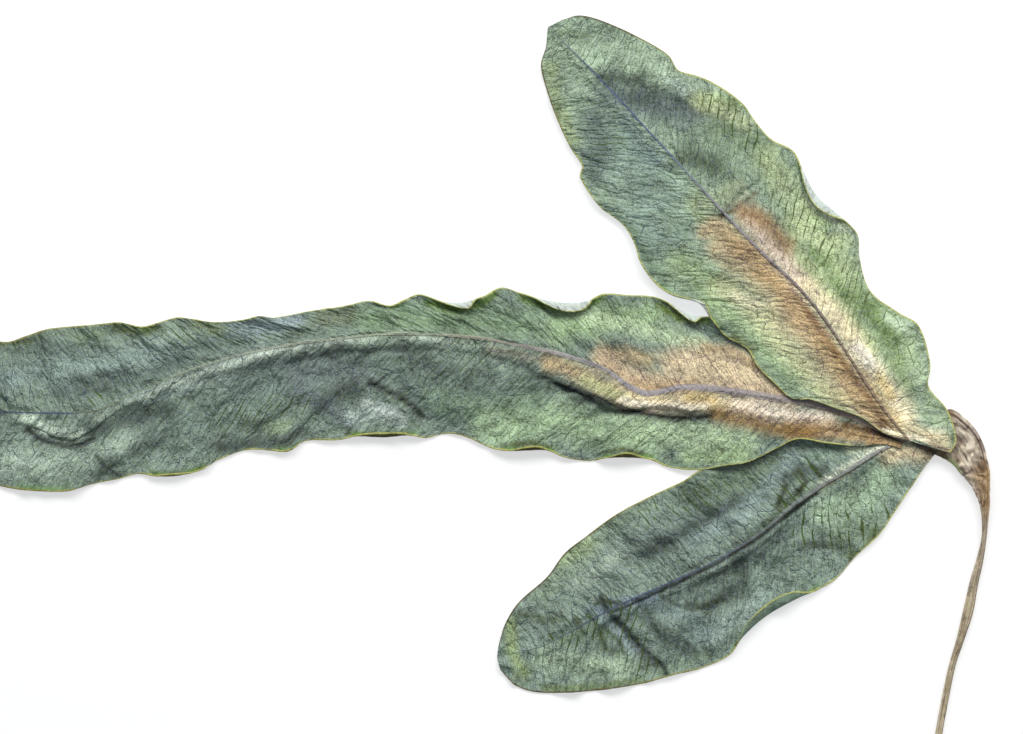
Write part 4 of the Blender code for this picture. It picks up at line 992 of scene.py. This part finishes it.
def stipe_surface(rows, around):
    """Loops of points along the stipe, with each point's place along it and round it.

    A section's half thickness is that of a thin web with a thick outer rib, blended into
    that of a round stalk. Ridges that run along it and the ribbon's crinkles, the absolute
    values of noises of 2 to 3 mm, are added along its normal."""
    inner, outer = to_mm([a for a, _, _ in STIPE]), to_mm([b for _, b, _ in STIPE])
    closed = np.array([c for _, _, c in STIPE])
    run = np.column_stack([(inner + outer)[:, :2] / 2, inner, outer, closed])
    shares = np.linspace(0.0, 1.0, rows)
    read = smooth_curve(run, shares)
    inner, outer, closed = read[:, 2:5], read[:, 5:8], np.clip(read[:, 8:9], 0, 1)
    angle = np.linspace(0, 2 * np.pi, around, endpoint=False)
    across = 0.5 - 0.5 * np.cos(angle)
    web = np.interp(across, [0, 0.1, 0.6, 0.8, 0.92, 1], [0.0, 0.3, 0.3, 0.75, 0.8, 0.0])
    stalk = STALK_MM * np.abs(np.sin(angle))
    half = np.sign(np.sin(angle)) * (web * (1 - closed) + stalk * closed)
    spine = inner[:, None] + (outer - inner)[:, None] * across[None, :, None]
    travel = np.gradient(spine, axis=0)
    normal = np.cross(np.broadcast_to((outer - inner)[:, None], spine.shape), travel)
    normal /= np.linalg.norm(normal, axis=2, keepdims=True)
    normal *= np.where(normal[..., 2:] < 0, -1, 1)
    along = shares[:, None] * plan_steps(run).sum() + 0 * across
    flute = FLUTE_MM * np.sin(angle * FLUTES + 0.25 * along) * np.sign(np.sin(angle))
    crinkle = 1.1 * np.abs(value_noise(along / 3.4 + 2 * across, across * 3.2 + along / 9, 77))
    crinkle = crinkle + 0.35 * value_noise(along / 1.6 - across, across * 7, 78)
    crinkle = crinkle + 0.6 * np.abs(value_noise(along / 2.2 + 3 * across, across * 4.5 - along / 6, 79))
    bulge = half + flute * np.abs(np.sin(angle)) + (1 - closed) * crinkle
    surface = spine + normal * bulge[..., None]
    surface[..., 2] = np.maximum(surface[..., 2], GROUND_MM)
    return surface, along, np.broadcast_to(across, along.shape)


def tube_mesh(name, loops, attributes):
    """Closed skin of loops: each loop joined to the next, and the end loops drawn in to a point."""
    around = loops.shape[1]
    caps = [loops[:1] * (1 - s) + loops[:1].mean(1, keepdims=True) * s for s in (0.999, 0.5)]
    ends = [loops[-1:] * (1 - s) + loops[-1:].mean(1, keepdims=True) * s for s in (0.5, 0.999)]
    loops = np.concatenate(caps + [loops] + ends)
    near = np.arange(loops.shape[0] * around).reshape(-1, around)[:-1]
    far = near + around
    faces = np.stack([near, np.roll(near, -1, 1), np.roll(far, -1, 1), far], -1).reshape(-1, 4)
    padded = {key: np.concatenate([values[:1]] * 2 + [values] + [values[-1:]] * 2)
              for key, values in attributes.items()}
    return mesh_object(name, loops.reshape(-1, 3), faces, padded)


loops, along, across = stipe_surface(520, 72)
stipe = tube_mesh("stipe_skin", loops, {"along": along, "across": across})

# %% [markdown]
# ## A shorter way to write shader nodes
# Few kinds of node do all the work here, with the same settings each time. A table gives each
# one a short word, and says which inputs its values go to and which output is read. One
# function then adds any of them in a single call.


# %% Node helpers
WORDS = {  # word: kind of node, settings, inputs, output
    "plus": ("ShaderNodeMath", {"operation": "ADD"}, (0, 1), 0),
    "minus": ("ShaderNodeMath", {"operation": "SUBTRACT"}, (0, 1), 0),
    "times": ("ShaderNodeMath", {"operation": "MULTIPLY"}, (0, 1), 0),
    "over": ("ShaderNodeMath", {"operation": "DIVIDE"}, (0, 1), 0),
    "unsigned": ("ShaderNodeMath", {"operation": "ABSOLUTE"}, (0,), 0),
    "there and back": ("ShaderNodeMath", {"operation": "PINGPONG"}, (0, 1), 0),
    "soft step": ("ShaderNodeMapRange", {"interpolation_type": "SMOOTHSTEP"}, (0, 1, 2, 3, 4), 0),
    "ramp": ("ShaderNodeMapRange", {}, (0, 1, 2, 3, 4), 0),
    "blend": ("ShaderNodeMix", {"data_type": "RGBA"}, (0, 6, 7), 2),
    "scaled": ("ShaderNodeVectorMath", {"operation": "SCALE"}, (0, "Scale"), 0),
    "vector times": ("ShaderNodeVectorMath", {"operation": "MULTIPLY"}, (0, 1), 0),
    "vector plus": ("ShaderNodeVectorMath", {"operation": "ADD"}, (0, 1), 0),
    "stretched": ("ShaderNodeMapping", {}, ("Vector", "Scale"), 0),
    "apart": ("ShaderNodeSeparateXYZ", {}, (0,), 0),
    "colour apart": ("ShaderNodeSeparateColor", {}, (0,), 0),
    "together": ("ShaderNodeCombineXYZ", {}, (0, 1), 0),
    "noise": ("ShaderNodeTexNoise", {}, ("Vector", "Scale", "Detail", "Distortion"), "Fac"),
    "cells": ("ShaderNodeTexVoronoi", {"feature": "DISTANCE_TO_EDGE", "voronoi_dimensions": "2D"},
              ("Vector", "Scale"), "Distance"),
    "attribute": ("ShaderNodeAttribute", {}, (), "Fac"),
    "place": ("ShaderNodeTexCoord", {}, (), "Object"),
    "bump": ("ShaderNodeBump", {}, ("Height", "Strength", "Distance"), 0),
}


def give(tree, made, inputs):
    """Sets inputs of a node to numbers or colours, or links them to other nodes' outputs."""
    for key, value in inputs.items():
        if isinstance(value, bpy.types.NodeSocket):
            tree.links.new(value, made.inputs[key])
        else:
            made.inputs[key].default_value = value


def add(tree, word, *values, **settings):
    """Adds the node that a word stands for, with its settings and links, and returns its output."""
    kind, usual, inputs, output = WORDS[word]
    made = tree.nodes.new(kind)
    for key, value in {**usual, **settings}.items():
        setattr(made, key, value)
    give(tree, made, dict(zip(inputs, values)))
    return made.outputs[output]


def new_material(name):
    """A material that holds only its Principled shader, with the function that adds nodes to it."""
    made = bpy.data.materials.new(name)
    made.use_nodes = True
    return made, made.node_tree.nodes["Principled BSDF"], partial(add, made.node_tree)


print("words for nodes:", ", ".join(WORDS))


# %% [markdown]
# ## Dried leaf
# The living frond is blue-green under a thin bloom of wax, and drying dulls it. The surface
# is matt with a faint waxy sheen. Its veins are finer than the mesh, so they are drawn in the
# leaf's own vein coordinates, which are millimetres along the midrib, out from it and in from
# the margin. Side veins leave the midrib every 2.8 mm and wander. Between them a Voronoi net
# gives the closed cells that such ferns have, about 2.4 mm wide and 6 mm long. Veins show
# purple or ochre where the leaf has gone tan, and slate or olive where it is still green. A
# vein is about 0.2 mm wide, on the real leaf and here.


# %% Leaf material
def dried_leaf():
    """Principled shader: the brushed colour, mottled and veined, with bump from wrinkles and veins."""
    made, shader, node = new_material("dried_waxy_leaf")
    brush, rib, vein, trim = (node("attribute", attribute_name=key).node.outputs
                              for key in ("paint", "rib", "vein", "trim"))
    underside = node("attribute", attribute_name="underside")
    furrow_shade_amount, edge_brown, crest = node("apart", trim["Vector"]).node.outputs
    _, signed_out, to_margin = node("apart", vein["Vector"]).node.outputs
    out = node("unsigned", signed_out)
    place = node("place")

    # veins: the vein coordinates are pushed about by up to 2 mm, so that no vein runs straight
    push = node("noise", place, 115.0, 1.5).node.outputs["Color"]  # bends about 9 mm long
    bent = node("vector plus", vein["Vector"], node("vector times", push, (4.2, 4.2, 0.0)))
    side = node("there and back", node("apart", bent), 1.4)  # half of the 2.8 mm between side veins
    side_vein = node("soft step", side, 0.03, 0.13, 1.0, 0.0)
    net = node("cells", node("stretched", bent, (0.42, 0.17, 0.0)), 1.0)  # 1 / 2.4 mm and 1 / 6 mm
    net_vein = node("soft step", net, 0.008, 0.045, 1.0, 0.0)
    pillow = node("soft step", net, 0.0, 0.34)

    # noises: as many features for each metre as are 14, 6, 3, 1.2 and 0.5 mm long
    cloud = node("noise", place, 70.0, 3.0)
    swell = node("noise", place, 170.0, 2.0)
    mottle = node("noise", place, 330.0, 4.0)
    leather = node("noise", place, 800.0, 3.0)
    grain = node("noise", place, 2200.0, 3.0)
    streak = node("noise", node("stretched", bent, (0.55, 0.2, 0.0)), 1.0, 1.0, 0.4)  # 1.8 by 5 mm
    fine = node("noise", node("stretched", bent, (2.2, 0.5, 0.0)), 1.0, 2.0, 0.3)  # 0.45 by 2 mm

    # tone: lighter and darker places of every size that leave the brushed colour's mean alone
    tone = 1.0
    for value, much in ((mottle, 0.7), (streak, 0.45), (fine, 0.7), (leather, 0.8), (grain, 2.0),
                        (cloud, 0.9), (swell, 0.8)):
        tone = node("plus", tone, node("times", node("minus", value, 0.5), much))
    colour = node("scaled", brush["Color"], tone)

    # specks of slate and moss in the green parts, and painted shade in the furrows between the wrinkles
    red, green, blue = node("colour apart", brush["Color"]).node.outputs
    tan = node("soft step", node("minus", red, green), -0.05, 0.06)
    leafy = node("minus", 1.0, tan)
    slate = node("times", leafy, node("soft step", leather, 0.5, 0.7, 0.0, 0.28))
    colour = node("blend", slate, colour, linear("#8292a4"))
    mossy = node("times", leafy, node("soft step", leather, 0.3, 0.48, 0.22, 0.0))
    colour = node("blend", mossy, colour, linear("#5f7a4c"))
    shade = node("blend", tan, linear("#435640"), linear("#7d5c3c"))
    colour = node("blend", node("soft step", crest, 0.0, 0.4, 0.14, 0.0), colour, shade)

    # veins' colour: side veins fade far from the midrib, and all are fainter in dark mottles
    yellow = node("soft step", node("minus", green, blue), 0.08, 0.22)
    green_vein = node("blend", yellow, linear("#3a4860"), linear("#55642f"))
    tan_vein = node("blend", node("soft step", swell, 0.45, 0.6), linear("#6a5370"), linear("#9c7a40"))
    vein_colour = node("blend", tan, green_vein, tan_vein)
    seen = node("soft step", mottle, 0.35, 0.6, 0.3, 0.9)
    seen = node("times", seen, node("soft step", tan, 0.0, 1.0, 0.9, 0.85))
    near = node("soft step", out, 5.0, 16.0, 1.0, 0.3)
    colour = node("blend", node("times", side_vein, node("times", seen, near)), colour, vein_colour)
    colour = node("blend", node("times", net_vein, seen), colour, vein_colour)

    # moss-green dashes along the side veins, broken up by the streaks
    dashes = node("times", node("soft step", side, 0.1, 0.4, 1.0, 0.0), node("soft step", streak, 0.41, 0.49))
    dashes = node("soft step", node("times", dashes, brush["Alpha"]), 0.12, 0.5, 0.0, 0.85)
    colour = node("blend", dashes, colour, linear("#4d6220"))

    # midrib: a fibrous band, with painted shade in the furrow on its left side
    width = rib["Alpha"]
    inside = node("soft step", node("over", out, width), 0.75, 1.15, 1.0, 0.0)
    fibre = node("noise", node("stretched", vein["Vector"], (0.08, 3.2, 0.0)), 1.0, 2.0)  # 12 by 0.3 mm
    fibrous = node("soft step", fibre, 0.35, 0.65, 0.4, 0.0)
    rib_colour = node("blend", fibrous, rib["Color"], linear("#4c4650"))
    beside = node("minus", node("times", signed_out, -1.0), width)
    furrow = node("soft step", beside, -0.15, 0.05)
    furrow = node("times", furrow, node("soft step", beside, 0.15, 0.55, 1.0, 0.0))
    colour = node("blend", node("times", furrow, furrow_shade_amount), colour, linear("#3a2c20"))
    colour = node("blend", node("times", inside, 0.9), colour, rib_colour)

    # underside, with its painted light and shade, and the thin line along the margin
    colour = node("blend", node("times", underside, 0.85), colour, brush["Color"])
    line = node("soft step", to_margin, 0.25, 0.6, 1.0, 0.0)
    line_colour = node("blend", edge_brown, linear("#cdd17c"), linear("#6a5c38"))
    colour = node("blend", node("times", line, 0.85), colour, line_colour)

    height = node("times", mottle, 0.5)  # in millimetres
    for value, much in ((streak, 0.35), (swell, 2.4), (leather, 0.6), (grain, 0.5), (side_vein, -0.1),
                        (pillow, 0.24)):
        height = node("plus", height, node("times", value, much))
    give(made.node_tree, shader, {
        "Base Color": colour, "Normal": node("bump", height, 1.0, 0.001),
        "Roughness": node("soft step", cloud, 0.3, 0.7, 0.62, 0.8), "Specular IOR Level": 0.3})
    return made


leaf = dried_leaf()
print("leaf material has", len(leaf.node_tree.nodes), "nodes")

# %% [markdown]
# ## Dried stalk
# The winged top is thin, crumpled tissue of a mauve-brown, and the stalk below is bare straw.
# Both show fibres that run along them, so their colour and bump are a noise that is stretched
# lengthwise: nine fibres across, each about 17 mm long. Over them lie layers, each a colour
# and the places where it shows. Some layers are painted light: highlights on the wing's creases
# and shade in its hollows, about 5 mm apart, a shadow beside the thick outer rim and a shadow on
# the top end under the upper lobe's base.


# %% Stalk material
def dried_stalk():
    """Principled shader with lengthwise fibres, mauve-brown at the wing and straw further down.

    A layer's share is its amount times its soft steps, in millimetres along the stipe, shares of
    the way across it, or values of a noise."""
    made, shader, node = new_material("dried_stalk_fibre")
    along, across = (node("attribute", attribute_name=key) for key in ("along", "across"))
    place = node("place")
    fibre_place = node("together", node("times", along, 0.06), node("times", across, 9.0))
    fibre = node("noise", fibre_place, 1.0, 3.0, 0.2)
    blotch = node("noise", place, 320.0, 3.0)  # one every 3 mm
    crumple = node("noise", place, 210.0, 2.0, 1.2)  # one every 5 mm
    base = node("blend", node("soft step", along, 18.0, 75.0), linear("#cbbfb2"), linear("#e6dab4"))
    colour = node("blend", node("ramp", fibre, 0.35, 0.65), linear("#94826f"), base)
    on_wing = (along, 22.0, 34.0, 1.0, 0.0)
    layers = (
        ("#dccfb8", 1.0, (blotch, 0.48, 0.66, 0.0, 0.75)),  # pale blotches
        ("#6d5a55", 1.0, (blotch, 0.3, 0.42, 0.6, 0.0)),  # dark blotches
        ("#efe5d0", 1.0, on_wing, (crumple, 0.54, 0.64, 0.0, 0.8)),  # painted highlights on raised creases
        ("#6f5a50", 1.0, on_wing, (crumple, 0.36, 0.45, 0.7, 0.0)),  # painted shade in the hollows
        ("#4a3328", 0.9, (across, 0.87, 0.9), (across, 0.92, 0.96, 1.0, 0.0)),  # painted shadow beside the outer rim
        ("#b08a52", 0.6, (along, 17.0, 24.0), (along, 30.0, 40.0, 1.0, 0.0), (across, 0.1, 0.4)),  # neck
        ("#a3b07a", 0.8, (along, 6.0, 9.0), (along, 17.0, 20.0, 1.0, 0.0),
         (across, 0.06, 0.16, 1.0, 0.0)),  # green inner edge of the wing
        ("#6b5236", 1.0, (along, 7.0, 10.0, 0.85, 0.0)),  # painted shadow on the top end at the hub, under the upper lobe's base
    )
    for code, amount, first, *others in layers:
        share = node("soft step", *first)
        for step in others:
            share = node("times", share, node("soft step", *step))
        colour = node("blend", node("times", share, amount), colour, linear(code))
    bends = node("unsigned", node("minus", node("noise", place, 180.0, 1.5, 0.3), 0.5))  # every 6 mm
    bends = node("times", bends, node("soft step", along, 26.0, 40.0, 4.5, 0.0))
    skin = node("plus", bends, node("plus", fibre, blotch))
    give(made.node_tree, shader, {
        "Base Color": colour, "Normal": node("bump", skin, 1.0, 0.0008), "Roughness": 0.55})
    return made


stalk = dried_stalk()
print("stalk material has", len(stalk.node_tree.nodes), "nodes")

# %% [markdown]
# ## Putting the pieces in the frame
# The three lobes stand for the solid blade and the skin of the stipe for the solid stipe.

# %% Ride, replace and dress
for piece in lobes:
    piece.data.materials.append(leaf)
    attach(piece, "root")
    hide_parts("blade")
stipe.data.materials.append(stalk)
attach(stipe, "root")
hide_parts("stipe")
print("pieces:", [piece.name for piece in lobes] + [stipe.name])

# %% [markdown]
# ## Ground, light and camera
# The photograph is a scan: an even white ground, light that comes mainly from its top edge,
# and no perspective. The ground glows a little, so that it stays as even as a scanner's lid. A
# camera 6 m up with a long lens sees the frond as a scanner does, and a large soft lamp beyond
# the top edge gives the short shadows below each margin.

# %% Ground
GROUND_REACH_M = 3.0
GROUND_LEVEL_M = -0.0002  # just below the frond's resting places, so that no two faces fight
corners = [(x * GROUND_REACH_M, y * GROUND_REACH_M, GROUND_LEVEL_M)
           for x, y in ((-1, -1), (1, -1), (1, 1), (-1, 1))]
ground_mesh = bpy.data.meshes.new("ground")
ground_mesh.from_pydata(corners, [], [(0, 1, 2, 3)])
ground = bpy.data.objects.new("ground", ground_mesh)
bpy.context.scene.collection.objects.link(ground)
paper, paper_shader, _ = new_material("white_ground")
give(paper.node_tree, paper_shader, {
    "Base Color": linear("#babcbf"), "Roughness": 0.9,
    "Emission Color": linear("#ffffff"), "Emission Strength": 0.58})
ground_mesh.materials.append(paper)
print("ground is", 2 * GROUND_REACH_M, "m wide")

# %% Light
def lamp(name, position, size, watts, colour):
    """An area lamp, so wide by so deep in metres, turned so that it shines at the origin."""
    data = bpy.data.lights.new(name, "AREA")
    data.shape, data.energy, data.color = "RECTANGLE", watts, linear(colour)[:3]
    data.size, data.size_y = size
    made = bpy.data.objects.new(name, data)
    made.location = position
    x, y, z = position
    made.rotation_euler = (np.arctan2(np.hypot(x, y), z), 0, np.arctan2(y, x) + np.pi / 2)
    bpy.context.scene.collection.objects.link(made)
    print(name, "gives", watts, "W from", round(float(np.linalg.norm(position)), 2), "m away")


lamp("long_key", (0.27, 1.32, 1.61), (2.6, 0.8), 50, "#fffcf6")
lamp("overhead", (-0.2, -0.2, 2.2), (1.8, 1.8), 3, "#f4f8ff")
world = bpy.data.worlds.new("soft_room")
world.use_nodes = True
give(world.node_tree, world.node_tree.nodes["Background"], {"Color": linear("#eef3fa"), "Strength": 0.17})
bpy.context.scene.world = world
bpy.context.scene.view_settings.view_transform = "Standard"

# %% Camera
CAMERA_HEIGHT_M = 6.0
SENSOR_MM = 36.0
PICTURE_MIDDLE_PX = (511.5, 367.0)
middle = to_mm([PICTURE_MIDDLE_PX])[0] * 0.001
camera_data = bpy.data.cameras.new("scanner_eye")
camera_data.sensor_width = SENSOR_MM
camera_data.lens = SENSOR_MM * CAMERA_HEIGHT_M / (SCAN_MM * 0.001)
camera = bpy.data.objects.new("scanner_eye", camera_data)
camera.location = (middle[0], middle[1], CAMERA_HEIGHT_M)
bpy.context.scene.collection.objects.link(camera)
bpy.context.scene.camera = camera
print("camera looks straight down at", np.round(middle, 4), "with a lens of", round(camera_data.lens), "mm")
